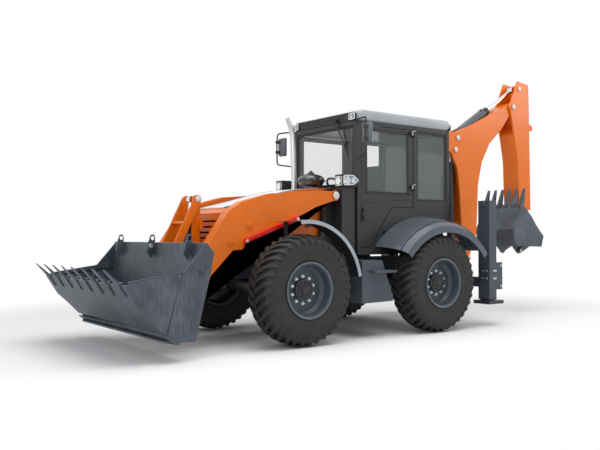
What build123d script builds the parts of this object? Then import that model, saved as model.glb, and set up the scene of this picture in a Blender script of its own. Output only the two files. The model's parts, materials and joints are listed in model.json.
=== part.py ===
"""Backhoe loader with four equal steered wheels, a clam front bucket and a side-shift backhoe.

Millimetres. +X is forward, +Y is the left side, +Z is up. The origin is on the ground, at the
middle of the machine's length and width. The backhoe is folded up behind the cab.
"""
from build123d import *
from math import atan2, cos, degrees, hypot, radians, sin
import os

os.makedirs("parts", exist_ok=True)

# Running gear
wheel_base = 2270
axle_mid_x = 580
front_x = axle_mid_x + wheel_base / 2
rear_x = axle_mid_x - wheel_base / 2
tyre_radius = 670
tyre_width = 410
carcass_radius = 632
rim_seat_radius = 320
rim_lip_radius = 337
wheel_y = 1035
kingpin_y = 800
kingpin_radius = 25
knuckle_drum_radius = 190
spindle_radius = 45
axle_z = tyre_radius
beam_radius = 85
running_fit = 0.05
pin_gap = 0.3
side_gap = 6

# Chassis
rail_inner_y = 300
rail_outer_y = 340
rail_top = 1000
rail_bottom = 785
belly_bottom = 480
frame_rear_x = -1600
frame_front_x = 2330
nose_front_x = 2586
nose_half = 450
nose_notch = 195
nose_notch_z = 795
hood_foot = 1034

# Loader arms, given by their pin centres in the X-Z plane
arm_pivot = (872, 1835)
arm_pivot_radius = 68
lift_eye = (2465, 1232)
lift_base = (950, 1150)
bucket_hinge = (2950, 500)
lever_foot = (2640, 1130)
lever_top = (2625, 1757)
tilt_base = (2700, 1000)
link_foot = (bucket_hinge[0] + lever_top[0] - lever_foot[0], bucket_hinge[1] + lever_top[1] - lever_foot[1])
arm_inner_y = 510
arm_outer_y = 660
arm_plate = 20
cross_tube = (2850, 790)
cross_tube_radius = 75

# Front bucket
bucket_half = 1234
blade_half = 1286
bucket_plate = 20
clam_pin = (3153, 922)
tooth_count = 8
tooth_inset = 137
tooth_tip = (4171, 973)

# Cab
cab_front_x = 545
cab_rear_x = -1231
cab_half = 720
cab_floor = 1060
cab_top = 2850
cab_wall = 45
door_seam = 8
door_hinge = (-500, 738)
hinge_levels = (1963, 2720)
hinge_pin_radius = 8
arch_half = 600
arch_front_x = 90
arch_top = 1380
roof_top = 3000

# Backhoe, given by its pin centres in the X-Z plane
kingpost_x = -2020
boom_foot = (-2270, 950)
boom_tip = (-3466, 3519)
boom_ram_base = (-2060, 1180)
boom_ram_eye = (-2041, 2689)
dipper_ram_base = (-2097, 2882)
dipper_ram_eye = (-3625, 3849)
bucket_pin = (-3800, 1260)
rocker_pin = (-3915, 1543)
rocker_end = (-4026, 1250)
bucket_link_pin = (-3590, 1060)
bucket_ram_base = (-4050, 3212)
boom_half = 125
dipper_half = 160
hoe_bucket_half = 400

# Stabilizers
leg_x = (-1763, -1603)
leg_y = (944, 1150)
leg_z = (385, 1825)
leg_wall = 12


def at_y(y):
    """Plane whose local axes are X and Z, at one Y."""
    return Plane.XZ.offset(-y)


def both_sides(y_low, y_high):
    """The same stretch of Y on the left and on the right."""
    return ((y_low, y_high), (-y_high, -y_low))


def slab(outline, y_low, y_high, mode=Mode.ADD):
    """A plate with an X-Z outline between two Y values."""
    with BuildSketch(at_y(y_low)) as face:
        with BuildLine():
            Polyline(*outline, close=True)
        make_face()
    extrude(face.sketch, amount=y_low - y_high, mode=mode)


def disc(centre, y_low, y_high, radius, mode=Mode.ADD):
    """A round boss, pin or bore along Y."""
    with BuildSketch(at_y(y_low)) as face:
        with Locations(centre):
            Circle(radius)
    extrude(face.sketch, amount=y_low - y_high, mode=mode)


def block(x_range, y_range, z_range, mode=Mode.ADD):
    """A box between two corners."""
    size = [high - low for low, high in (x_range, y_range, z_range)]
    middle = [(high + low) / 2 for low, high in (x_range, y_range, z_range)]
    with Locations(tuple(middle)):
        Box(*size, mode=mode)


def bar(start, end, y, radius, mode=Mode.ADD):
    """A round bar between two X-Z points at one Y."""
    run = Vector(end[0] - start[0], 0, end[1] - start[1])
    with BuildSketch(Plane(origin=(start[0], y, start[1]), x_dir=(0, 1, 0), z_dir=run)) as face:
        Circle(radius)
    extrude(face.sketch, amount=run.length, mode=mode)


def along(start, end, distance):
    """The point at a distance from start towards end."""
    span = hypot(end[0] - start[0], end[1] - start[1])
    return (
        start[0] + (end[0] - start[0]) * distance / span,
        start[1] + (end[1] - start[1]) * distance / span,
    )


def strap(start, end, y_low, y_high, half_width, hole):
    """A flat link with round ends and a bore at each end."""
    run = (end[0] - start[0], end[1] - start[1])
    span = hypot(*run)
    side = (-run[1] / span * half_width, run[0] / span * half_width)
    slab(
        [
            (start[0] + side[0], start[1] + side[1]),
            (end[0] + side[0], end[1] + side[1]),
            (end[0] - side[0], end[1] - side[1]),
            (start[0] - side[0], start[1] - side[1]),
        ],
        y_low,
        y_high,
    )
    for pin in (start, end):
        disc(pin, y_low, y_high, half_width)
    for pin in (start, end):
        if hole:
            disc(pin, y_low, y_high, hole, mode=Mode.SUBTRACT)


def ram_barrel(base, eye, y, radius, bore, length, eye_half, pin_hole):
    """Cylinder tube with its base eye, hollow for the rod."""
    bar(along(base, eye, radius * 0.6), along(base, eye, length), y, radius)
    disc(base, y - eye_half, y + eye_half, radius)
    bar(along(base, eye, radius * 1.6), along(base, eye, length + 1), y, bore + pin_gap, Mode.SUBTRACT)
    disc(base, y - eye_half, y + eye_half, pin_hole, mode=Mode.SUBTRACT)


def ram_rod(base, eye, y, radius, tail, eye_half, eye_radius):
    """Cylinder rod from its piston end to its eye."""
    bar(along(base, eye, tail), eye, y, radius)
    disc(eye, y - eye_half, y + eye_half, eye_radius)


def wheel_plane(x, y):
    """Plane through a wheel's axis, local x along Y and local y up."""
    return Plane(origin=(x, y, axle_z), x_dir=(0, 1, 0), z_dir=(1, 0, 0))


def radial_plane(x, z, angle):
    """Plane through a cross axis, local x along Y and local y outward at an angle from forward."""
    lean = radians(angle)
    return Plane(origin=(x, 0, z), x_dir=(0, 1, 0), z_dir=(sin(lean), 0, -cos(lean)))


# Wheels, as tyres and rims around their own centres
corners = (
    ("front_left", front_x, 1),
    ("front_right", front_x, -1),
    ("rear_left", rear_x, 1),
    ("rear_right", rear_x, -1),
)
bead_w = 180
sidewall_w = tyre_width / 2
tread_w = 175
shoulder_radius = 620
for corner, wheel_x, side in corners:
    centre_y = side * wheel_y
    with BuildPart() as tyre:
        with BuildSketch(wheel_plane(wheel_x, centre_y)):
            with BuildLine():
                seat = Line((-bead_w, rim_seat_radius + pin_gap), (bead_w, rim_seat_radius + pin_gap))
                Line(seat @ 1, (bead_w, rim_lip_radius + 4))
                ThreePointArc((bead_w, rim_lip_radius + 4), (sidewall_w, 480), (tread_w, shoulder_radius))
                ThreePointArc((tread_w, shoulder_radius), (0, tyre_radius), (-tread_w, shoulder_radius))
                ThreePointArc((-tread_w, shoulder_radius), (-sidewall_w, 480), (-bead_w, rim_lip_radius + 4))
                Line((-bead_w, rim_lip_radius + 4), seat @ 0)
            make_face()
        revolve(axis=Axis((wheel_x, centre_y, axle_z), (0, 1, 0)))
    tyre.part.label = "tyre_" + corner
    export_step(tyre.part, "parts/tyre_" + corner + ".step")

    with BuildPart() as rim:
        with BuildSketch(wheel_plane(wheel_x, centre_y)):
            with BuildLine():
                Polyline(
                    (-195 * side, rim_lip_radius),
                    (-bead_w * side, rim_lip_radius),
                    (-bead_w * side, rim_seat_radius),
                    (bead_w * side, rim_seat_radius),
                    (bead_w * side, rim_lip_radius),
                    (195 * side, rim_lip_radius),
                    (195 * side, 322),
                    (185 * side, 304),
                    (70 * side, 300),
                    (34 * side, 262),
                    (34 * side, 132),
                    (78 * side, 128),
                    (84 * side, 110),
                    (84 * side, 0),
                    (14 * side, 0),
                    (14 * side, 262),
                    (-10 * side, 300),
                    (-185 * side, 304),
                    (-195 * side, 322),
                    close=True,
                )
            make_face()
        revolve(axis=Axis((wheel_x, centre_y, axle_z), (0, 1, 0)))
        bore_end = centre_y + side * 62
        hub_inner = centre_y + side * 13
        disc(
            (wheel_x, axle_z),
            min(hub_inner, bore_end),
            max(hub_inner, bore_end),
            spindle_radius + running_fit,
            mode=Mode.SUBTRACT,
        )
    rim.part.label = "rim_" + corner
    export_step(rim.part, "parts/rim_" + corner + ".step")

# Axles
kingpin_boss_radius = 65
kingpin_boss_half = 95
with BuildPart() as axles:
    for axle_x in (front_x, rear_x):
        disc((axle_x, axle_z), -kingpin_y, kingpin_y, beam_radius)
        disc((axle_x, axle_z), -180, 180, 105)
        for side in (1, -1):
            with Locations((axle_x, side * kingpin_y, axle_z)):
                Cylinder(kingpin_boss_radius, 2 * kingpin_boss_half)
        for side in (1, -1):
            with Locations((axle_x, side * kingpin_y, axle_z)):
                Cylinder(kingpin_radius + running_fit, 4 * kingpin_boss_half, mode=Mode.SUBTRACT)
axles.part.label = "axles"
export_step(axles.part, "parts/axles.step")

# Steering knuckles, the front ones with their mudguards
knuckle_gap = 5
yoke_low = kingpin_boss_half + knuckle_gap
yoke_high = yoke_low + 35
guard_radius = 822
guard_sheet = 6
guard_y = (760, 1200)
guard_taper_y = 1012
guard_start_angle = 80
guard_end_angle = 171
for corner, wheel_x, side in corners:
    with BuildPart() as knuckle:
        drum = sorted((side * 872, side * (wheel_y + 8)))
        disc((wheel_x, axle_z), drum[0], drum[1], knuckle_drum_radius)
        spindle = sorted((side * (wheel_y + 8), side * (wheel_y + 56)))
        disc((wheel_x, axle_z), spindle[0], spindle[1], spindle_radius)
        yoke = sorted((side * 735, side * 900))
        for z_low, z_high in ((yoke_low, yoke_high), (-yoke_high, -yoke_low)):
            block((wheel_x - 70, wheel_x + 70), yoke, (axle_z + z_low, axle_z + z_high))
        with Locations((wheel_x, side * kingpin_y, axle_z)):
            Cylinder(kingpin_radius, 2 * yoke_high)
        if wheel_x == front_x:
            guard = sorted((side * guard_y[0], side * guard_y[1]))
            with BuildSketch(radial_plane(wheel_x, axle_z, guard_start_angle)):
                with Locations(((guard[0] + guard[1]) / 2, guard_radius)):
                    Rectangle(guard[1] - guard[0], guard_sheet)
            revolve(
                axis=Axis((wheel_x, 0, axle_z), (0, -1, 0)),
                revolution_arc=guard_end_angle - guard_start_angle,
            )
            with BuildSketch(Plane.XY.offset(axle_z + 100)):
                with BuildLine():
                    Polyline(
                        (wheel_x - 75, side * (guard_y[0] - 20)),
                        (wheel_x - 75, side * guard_y[0]),
                        (wheel_x - guard_radius, side * guard_taper_y),
                        (wheel_x - guard_radius - 20, side * guard_taper_y),
                        (wheel_x - guard_radius - 20, side * (guard_y[0] - 20)),
                        close=True,
                    )
                make_face()
            extrude(amount=guard_radius, mode=Mode.SUBTRACT)
            arm_y = sorted((side * 772, side * 812))
            slab(
                [
                    (front_x + 22, axle_z + guard_radius),
                    (front_x + 62, axle_z + guard_radius - 2),
                    (front_x + 62, 1250),
                    (front_x + 40, axle_z + yoke_high - 5),
                    (front_x - 30, axle_z + yoke_high - 5),
                    (front_x + 22, 1250),
                ],
                arm_y[0],
                arm_y[1],
            )
    knuckle.part.label = "knuckle_" + corner
    export_step(knuckle.part, "parts/knuckle_" + corner + ".step")

# Chassis rails, nose and belly
with BuildPart() as chassis:
    for y_low, y_high in both_sides(rail_inner_y, rail_outer_y):
        slab(
            [
                (frame_front_x, rail_top),
                (frame_rear_x, rail_top),
                (frame_rear_x, belly_bottom + 120),
                (rear_x - 330, belly_bottom + 120),
                (rear_x - 200, rail_bottom),
                (rear_x + 200, rail_bottom),
                (rear_x + 330, belly_bottom),
                (front_x - 330, belly_bottom),
                (front_x - 200, rail_bottom),
                (frame_front_x, rail_bottom),
            ],
            y_low,
            y_high,
        )
    block((frame_front_x, nose_front_x), (-nose_half, nose_half), (803, 1034))
    slab(
        [
            (nose_front_x - 10, 803),
            (nose_front_x - 60, 690),
            (nose_front_x - 120, 664),
            (frame_front_x - 20, 664),
            (frame_front_x - 60, 803),
        ],
        -300,
        300,
    )
    block((nose_front_x - 106, nose_front_x + 50), (-nose_notch, nose_notch), (nose_notch_z, hood_foot + 10), Mode.SUBTRACT)
    for cross_x in (frame_rear_x + 60, rear_x, 300, front_x):
        block((cross_x - 60, cross_x + 60), (-rail_inner_y, rail_inner_y), (rail_bottom, rail_bottom + 90))
    for mount_x in (-1100, 380):
        for y_low, y_high in both_sides(rail_inner_y - 30, rail_outer_y + 30):
            block((mount_x - 60, mount_x + 60), (y_low, y_high), (rail_top, cab_floor))
    for axle_x in (front_x, rear_x):
        for y_low, y_high in both_sides(rail_inner_y - 60, rail_inner_y):
            block((axle_x - 110, axle_x + 110), (y_low, y_high), (axle_z + beam_radius + pin_gap, rail_bottom + 20))
chassis.part.label = "chassis"
export_step(chassis.part, "parts/chassis.step")

with BuildPart() as engine:
    block((1100, 2250), (-rail_inner_y, rail_inner_y), (rail_bottom + 95, 1480))
engine.part.label = "engine"
export_step(engine.part, "parts/engine.step")

# Hood
hood_half = 420
hood_sheet = 8
hood_rear_x = 600
hood_top = 1940
hood_line = [(2430, 1590), (2340, 1650), (1898, 1757), (1500, 1860), (1234, 1913), (915, hood_top)]
with BuildPart() as hood:
    slab(
        [(2430, hood_foot)] + hood_line + [(hood_rear_x, hood_top), (hood_rear_x, 1400), (1020, hood_foot)],
        -hood_half,
        hood_half,
    )
    inner_line = [(x - hood_sheet if x == 2430 else x, z - hood_sheet) for x, z in hood_line]
    slab(
        [(2422, hood_foot - 10)]
        + inner_line
        + [(hood_rear_x - 10, hood_top - hood_sheet), (hood_rear_x - 10, 1380), (1012, hood_foot - 10)],
        -hood_half + hood_sheet,
        hood_half - hood_sheet,
        mode=Mode.SUBTRACT,
    )
    for slot in range(6):
        block((2400, 2440), (-330, 330), (1130 + 70 * slot, 1150 + 70 * slot), mode=Mode.SUBTRACT)
hood.part.label = "hood"
export_step(hood.part, "parts/hood.step")

with BuildPart() as hood_panel:
    for (x_a, z_a), (x_b, z_b) in zip(hood_line[1:], hood_line[2:]):
        slab([(x_a, z_a), (x_b, z_b), (x_b, z_b + 14), (x_a, z_a + 14)], -300, 300)
hood_panel.part.label = "hood_panel"
export_step(hood_panel.part, "parts/hood_panel.step")

# Loader towers
with BuildPart() as towers:
    for side in (1, -1):
        block((560, 1000), sorted((side * 300, side * 500)), (rail_top, rail_top + 30))
        block((560, 790), sorted((side * 440, side * 690)), (rail_top, 1950))
        slab(
            [
                (790, rail_top + 30),
                (lift_base[0] + 70, rail_top + 30),
                (lift_base[0] + 70, lift_base[1] + 60),
                (arm_pivot[0] + 80, 1500),
                (arm_pivot[0] + 80, arm_pivot[1] + 80),
                (790, 1950),
            ],
            *sorted((side * 440, side * 500)),
        )
        disc(arm_pivot, *sorted((side * 500, side * (arm_outer_y + 16))), 35)
        disc(lift_base, *sorted((side * 500, side * 645)), 28)
towers.part.label = "towers"
export_step(towers.part, "parts/towers.step")

# Loader arms
arm_outline = [
    (arm_pivot[0] - 48, arm_pivot[1] + 48),
    (1123, 1894),
    (1892, 1829),
    (2291, 1721),
    (2482, 1604),
    (2747, 1221),
    (2990, 852),
    (bucket_hinge[0] + 72, bucket_hinge[1] + 20),
    (bucket_hinge[0] + 40, bucket_hinge[1] - 62),
    (bucket_hinge[0] - 40, bucket_hinge[1] - 62),
    (bucket_hinge[0] - 78, bucket_hinge[1] + 20),
    (2718, 852),
    (2424, 1141),
    (2290, 1150),
    (2200, 1300),
    (1800, 1440),
    (1415, 1575),
    (1190, 1680),
    (arm_pivot[0] + 20, arm_pivot[1] - 66),
    (arm_pivot[0] - 48, arm_pivot[1] - 48),
]
arm_skin = 20
with BuildPart() as loader_arms:
    for side in (1, -1):
        for y_low, y_high in ((arm_inner_y, arm_inner_y + arm_plate), (arm_outer_y - arm_plate, arm_outer_y)):
            slab(arm_outline, *sorted((side * y_low, side * y_high)))
            disc(arm_pivot, *sorted((side * y_low, side * y_high)), arm_pivot_radius)
        for (x_a, z_a), (x_b, z_b) in zip(arm_outline[0:8], arm_outline[1:9]):
            span = hypot(x_b - x_a, z_b - z_a)
            in_x = (z_b - z_a) / span * arm_skin
            in_z = -(x_b - x_a) / span * arm_skin
            slab(
                [(x_a, z_a), (x_b, z_b), (x_b + in_x, z_b + in_z), (x_a + in_x, z_a + in_z)],
                *sorted((side * (arm_inner_y + 5), side * (arm_outer_y - 5))),
            )
        disc(arm_pivot, *sorted((side * (arm_inner_y - 1), side * (arm_outer_y + 1))), 35 + pin_gap, mode=Mode.SUBTRACT)
        disc(bucket_hinge, *sorted((side * (arm_inner_y - 40), side * (arm_outer_y + 40))), 32)
        for y_low, y_high in ((arm_outer_y, arm_outer_y + 8),):
            for boss in (lift_eye, (2195, 1440)):
                disc(boss, *sorted((side * y_low, side * y_high)), 45)
    disc(cross_tube, -arm_inner_y - 5, arm_inner_y + 5, cross_tube_radius)
    for y_low, y_high in both_sides(64, 104):
        slab(
            [
                (lever_foot[0] - 50, lever_foot[1] - 10),
                (lever_foot[0] - 20, lever_foot[1] + 50),
                (lever_foot[0] + 40, lever_foot[1] + 45),
                (cross_tube[0] + 50, cross_tube[1] + 20),
                (cross_tube[0] - 30, cross_tube[1] - 50),
                (tilt_base[0] - 60, tilt_base[1] - 40),
            ],
            y_low,
            y_high,
        )
    disc(lever_foot, -150, -104, 30)
    disc(lever_foot, 104, 150, 30)
    disc(tilt_base, -64, 64, 26)
loader_arms.part.label = "loader_arms"
export_step(loader_arms.part, "parts/loader_arms.step")

with BuildPart() as lock_strut:
    slab(
        [(2300, 1215), (2275, 1275), (1500, 1560), (1475, 1510)],
        arm_outer_y,
        arm_outer_y + 50,
    )
lock_strut.part.label = "lock_strut"
export_step(lock_strut.part, "parts/lock_strut.step")

# Lift cylinders
ram_y = (arm_inner_y + arm_outer_y) / 2
with BuildPart() as lift_barrels:
    for side in (1, -1):
        ram_barrel(lift_base, lift_eye, side * ram_y, 50, 32, 1290, 50, 28 + pin_gap)
lift_barrels.part.label = "lift_barrels"
export_step(lift_barrels.part, "parts/lift_barrels.step")

with BuildPart() as lift_rods:
    for side in (1, -1):
        ram_rod(lift_base, lift_eye, side * ram_y, 32, 160, 40, 50)
lift_rods.part.label = "lift_rods"
export_step(lift_rods.part, "parts/lift_rods.step")

# Bucket tilt linkage between the arms
with BuildPart() as tilt_lever:
    for y_low, y_high in both_sides(112, 142):
        strap(lever_foot, lever_top, y_low, y_high, 52, 0)
        disc(lever_foot, y_low, y_high, 30 + pin_gap, mode=Mode.SUBTRACT)
    for y_low, y_high in both_sides(141, 176):
        disc(lever_top, y_low, y_high, 28)
        block((2556, 2600), (y_low, y_high), (1400, 1520))
    block((2556, 2574), (-142, 142), (1400, 1520))
tilt_lever.part.label = "tilt_lever"
export_step(tilt_lever.part, "parts/tilt_lever.step")

with BuildPart() as tilt_link:
    for y_low, y_high in both_sides(150, 174):
        strap(lever_top, link_foot, y_low, y_high, 48, 28 + pin_gap)
    brace = along(lever_top, link_foot, 330)
    disc((brace[0] + 12, brace[1] + 6), -152, 152, 22)
tilt_link.part.label = "tilt_link"
export_step(tilt_link.part, "parts/tilt_link.step")

with BuildPart() as tilt_barrel:
    ram_barrel(tilt_base, lever_top, 0, 55, 32, 555, 50, 26 + pin_gap)
tilt_barrel.part.label = "tilt_barrel"
export_step(tilt_barrel.part, "parts/tilt_barrel.step")

with BuildPart() as tilt_rod:
    ram_rod(tilt_base, lever_top, 0, 32, 260, 40, 48)
tilt_rod.part.label = "tilt_rod"
export_step(tilt_rod.part, "parts/tilt_rod.step")

# Front bucket: back, floor, side plates and ears
side_plate_outline = [
    (3091, 1236),
    (3353, 936),
    (3372, 929),
    (3545, 301),
    (3532, 207),
    (3231, 205),
    (3212, 224),
    (3184, 355),
    (3053, 877),
    (3001, 1129),
]
back_outline = [
    (3091, 1236),
    (3112, 1230),
    (3150, 900),
    (3245, 300),
    (3270, 228),
    (3545, 228),
    (3545, 207),
    (3250, 207),
    (3224, 290),
    (3128, 900),
]
with BuildPart() as loader_bucket:
    slab(back_outline, -bucket_half + 1, bucket_half - 1)
    for y_low, y_high in both_sides(bucket_half - bucket_plate, bucket_half):
        slab(side_plate_outline, y_low, y_high)
    slab([(3430, 207), (3560, 290), (3575, 278), (3470, 195), (3430, 195)], -blade_half, blade_half)
    for ear_y in (-940, 0, 940):
        slab(
            [(3110, 1290), (3132, 1330), (3160, 1322), (3190, 1240), (3215, 1130), (3160, 1050), (3120, 1130)],
            ear_y - 14,
            ear_y + 14,
        )
        disc((3140, 1284), ear_y - 15, ear_y + 15, 26, mode=Mode.SUBTRACT)
    for side in (1, -1):
        for y_low, y_high in ((arm_inner_y - 40, arm_inner_y - side_gap), (arm_outer_y + side_gap, arm_outer_y + 40)):
            slab(
                [
                    (bucket_hinge[0] - 70, bucket_hinge[1] - 10),
                    (bucket_hinge[0] - 40, bucket_hinge[1] + 60),
                    (3150, 800),
                    (3215, 360),
                    (bucket_hinge[0], bucket_hinge[1] - 70),
                ],
                *sorted((side * y_low, side * y_high)),
            )
            disc(bucket_hinge, *sorted((side * (y_low - 1), side * (y_high + 1))), 32 + pin_gap, mode=Mode.SUBTRACT)
    for y_low, y_high in both_sides(182, 212):
        slab(
            [
                (link_foot[0] - 55, link_foot[1]),
                (link_foot[0] - 20, link_foot[1] + 55),
                (3105, 1190),
                (3160, 850),
                (link_foot[0] + 20, link_foot[1] - 60),
            ],
            y_low,
            y_high,
        )
    for y_low, y_high in both_sides(150, 183):
        disc(link_foot, y_low, y_high, 28)
    for y_low, y_high in both_sides(bucket_half - bucket_plate - 40, bucket_half - bucket_plate):
        block((3050, 3200), (y_low, y_high), (clam_pin[1] - 58, clam_pin[1] + 58), mode=Mode.SUBTRACT)
    for y_low, y_high in both_sides(bucket_half - bucket_plate - 36, bucket_half + 12):
        disc(clam_pin, y_low, y_high, 22)
loader_bucket.part.label = "loader_bucket"
export_step(loader_bucket.part, "parts/loader_bucket.step")

# Clam jaw: front plate, side plates, hinge arms and teeth
jaw_side = [(3380, 922), (4013, 819), (3866, 585), (3737, 467), (3590, 318), (3556, 310)]
jaw_front = [(4013, 819), (3866, 585), (3737, 467), (3590, 318), (3574, 330), (3722, 480), (3850, 598), (3990, 822)]
with BuildPart() as bucket_jaw:
    slab(jaw_front, -bucket_half + 1, bucket_half - 1)
    for y_low, y_high in both_sides(bucket_half - bucket_plate, bucket_half):
        slab(jaw_side, y_low, y_high)
    for side in (1, -1):
        y_pair = sorted((side * (bucket_half - bucket_plate - 6), side * (bucket_half - bucket_plate - 26)))
        slab([(3120, 890), (3130, 960), (3180, 960), (3960, 850), (3960, 815), (3430, 880), (3180, 890)], *y_pair)
        disc(clam_pin, *y_pair, 45)
        disc(clam_pin, *y_pair, 22 + pin_gap, mode=Mode.SUBTRACT)
        tie = sorted((side * (bucket_half - bucket_plate - 8), side * (bucket_half - bucket_plate + 2)))
        slab([(3500, 880), (3950, 812), (3940, 830), (3500, 900)], *tie)
    for tooth in range(tooth_count):
        tooth_y = (bucket_half - tooth_inset) * (2 * tooth / (tooth_count - 1) - 1)
        slab(
            [(3930, 690), (3955, 700), (4030, 815), (tooth_tip[0], tooth_tip[1]), (4010, 835), (3985, 845)],
            tooth_y - 35,
            tooth_y + 35,
        )
bucket_jaw.part.label = "bucket_jaw"
export_step(bucket_jaw.part, "parts/bucket_jaw.step")

# Cab shell, open for doors and windows
door_opening = [
    (475, 1150),
    (475, 2800),
    (-495, 2800),
    (-495, 1700),
    (-80, 1700),
    (20, 1560),
    (150, 1380),
    (290, 1150),
]
quarter_window = [(-1180, 1800), (-560, 1800), (-560, 2790), (-1180, 2790)]
rear_window_z = (1560, 2790)
front_window_z = (1990, 2790)
window_half = 640
with BuildPart() as cab_frame:
    block((cab_rear_x, cab_front_x), (-cab_half, cab_half), (cab_floor, cab_top))
    block(
        (cab_rear_x + cab_wall, cab_front_x - cab_wall),
        (-cab_half + cab_wall, cab_half - cab_wall),
        (cab_floor + cab_wall, cab_top - cab_wall),
        mode=Mode.SUBTRACT,
    )
    for y_low, y_high in both_sides(arch_half, cab_half + 10):
        block((cab_rear_x - 10, arch_front_x), (y_low, y_high), (cab_floor - 10, arch_top), mode=Mode.SUBTRACT)
    for y_low, y_high in both_sides(arch_half - 10, arch_half):
        block((cab_rear_x, arch_front_x + 10), (y_low, y_high), (cab_floor, arch_top + 10))
    for y_low, y_high in both_sides(arch_half - 10, cab_half - 1):
        block((cab_rear_x, arch_front_x + 10), (y_low, y_high), (arch_top, arch_top + 10))
        block((arch_front_x, arch_front_x + 10), (y_low, y_high), (cab_floor, arch_top + 10))
    slab(door_opening, -cab_half - 10, cab_half + 10, mode=Mode.SUBTRACT)
    slab(quarter_window, -cab_half - 10, cab_half + 10, mode=Mode.SUBTRACT)
    block((cab_front_x - 100, cab_front_x + 10), (-window_half, window_half), front_window_z, mode=Mode.SUBTRACT)
    block((cab_rear_x - 10, cab_rear_x + 100), (-window_half, window_half), rear_window_z, mode=Mode.SUBTRACT)
    for side in (1, -1):
        for level in hinge_levels:
            block((-514, -486), sorted((side * cab_half, side * (door_hinge[1] + 12))), (level - 22, level - pin_gap))
            with Locations((door_hinge[0], side * door_hinge[1], level + 20)):
                Cylinder(hinge_pin_radius, 80)
cab_frame.part.label = "cab_frame"
export_step(cab_frame.part, "parts/cab_frame.step")

with BuildPart() as roof:
    block((cab_rear_x - 40, cab_front_x - 20), (-735, 735), (cab_top, roof_top))
roof.part.label = "roof"
export_step(roof.part, "parts/roof.step")

glass = 6
pane_gap = 0
with BuildPart() as cab_glass:
    block(
        (cab_front_x - 25, cab_front_x - 25 + glass),
        (-window_half + pane_gap, window_half - pane_gap),
        (front_window_z[0] + pane_gap, front_window_z[1] - pane_gap),
    )
    block(
        (cab_rear_x + 19, cab_rear_x + 19 + glass),
        (-window_half + pane_gap, window_half - pane_gap),
        (rear_window_z[0] + pane_gap, rear_window_z[1] - pane_gap),
    )
    for y_low, y_high in both_sides(cab_half - 25, cab_half - 25 + glass):
        block((-1180 + pane_gap, -560 - pane_gap), (y_low, y_high), (1800 + pane_gap, 2790 - pane_gap))
cab_glass.part.label = "cab_glass"
export_step(cab_glass.part, "parts/cab_glass.step")

# Doors, hinged at the rear
door_window = [(400, 1880), (400, 2755), (-410, 2755), (-410, 1880)]
door_y = (cab_half - 40, cab_half - 5)
for name, side in (("left", 1), ("right", -1)):
    with BuildPart() as door:
        with BuildSketch(at_y(0)) as leaf:
            with BuildLine():
                Polyline(*door_opening, close=True)
            make_face()
            offset(amount=-door_seam, kind=Kind.INTERSECTION, mode=Mode.REPLACE)
        leaf_y = sorted((side * door_y[0], side * door_y[1]))
        extrude(leaf.sketch.moved(Location((0, leaf_y[0], 0))), amount=leaf_y[0] - leaf_y[1])
        slab(door_window, leaf_y[0] - 1, leaf_y[1] + 1, mode=Mode.SUBTRACT)
        for level in hinge_levels:
            block((door_hinge[0], -430), sorted((side * 730, side * 746)), (level, level + 60))
            block((-480, -430), sorted((side * 710, side * 746)), (level, level + 60))
            with Locations((door_hinge[0], side * door_hinge[1], level + 30)):
                Cylinder(hinge_pin_radius + 7, 60)
            with Locations((door_hinge[0], side * door_hinge[1], level + 30)):
                Cylinder(hinge_pin_radius + running_fit, 61, mode=Mode.SUBTRACT)
    door.part.label = "door_" + name
    export_step(door.part, "parts/door_" + name + ".step")
    with BuildPart() as pane:
        slab(
            door_window,
            *sorted((side * (cab_half - 25), side * (cab_half - 25 + glass))),
        )
    pane.part.label = "door_glass_" + name
    export_step(pane.part, "parts/door_glass_" + name + ".step")

# Seat and steering console
with BuildPart() as seat:
    block((-330, 150), (-260, 260), (1540, 1650))
    slab([(-330, 1650), (-230, 1650), (-330, 2330), (-420, 2330)], -240, 240)
    block((-220, 60), (-150, 150), (cab_floor + cab_wall, 1540))
seat.part.label = "seat"
export_step(seat.part, "parts/seat.step")

with BuildPart() as console:
    block((330, 495), (-170, 170), (cab_floor + cab_wall, 1880))
    bar((400, 1870), (290, 2010), 0, 30)
    wheel_centre = Plane(origin=(290, 0, 2010), x_dir=(0, 1, 0), z_dir=(-110, 0, 140))
    with BuildSketch(wheel_centre.offset(-10)) as ring:
        Circle(190)
        Circle(165, mode=Mode.SUBTRACT)
        Rectangle(340, 26)
    extrude(ring.sketch, amount=22)
console.part.label = "console"
export_step(console.part, "parts/console.step")

# Lamps, mirrors, exhaust and air cleaner
with BuildPart() as lamps:
    for side in (1, -1):
        slab([(850, 1950), (850, 2100), (620, 2115), (560, 2040), (560, 1950)], *sorted((side * 600, side * 780)))
    for side in (1, -1):
        block((cab_front_x - 20, cab_front_x + 30), sorted((side * 570, side * 690)), (2860, 2950))
lamps.part.label = "lamps"
export_step(lamps.part, "parts/lamps.step")

with BuildPart() as mirrors:
    for side in (1, -1):
        block((560, 620), sorted((side * 860, side * 1060)), (2500, 2790))
        block((cab_front_x, 580), sorted((side * 690, side * 900)), (2620, 2660))
mirrors.part.label = "mirrors"
export_step(mirrors.part, "parts/mirrors.step")

exhaust_y = -350
with BuildPart() as exhaust:
    with Locations((815, exhaust_y, hood_top + 410)):
        Cylinder(38, 820)
    with Locations((815, exhaust_y, 2360)):
        Cylinder(32, 814, mode=Mode.SUBTRACT)
exhaust.part.label = "exhaust"
export_step(exhaust.part, "parts/exhaust.step")

with BuildPart() as precleaner:
    with Locations((771, 0, hood_top + 30)):
        Cylinder(80, 60)
    with Locations((771, 0, 2085)):
        Cylinder(165, 174)
precleaner.part.label = "precleaner"
export_step(precleaner.part, "parts/precleaner.step")

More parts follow.
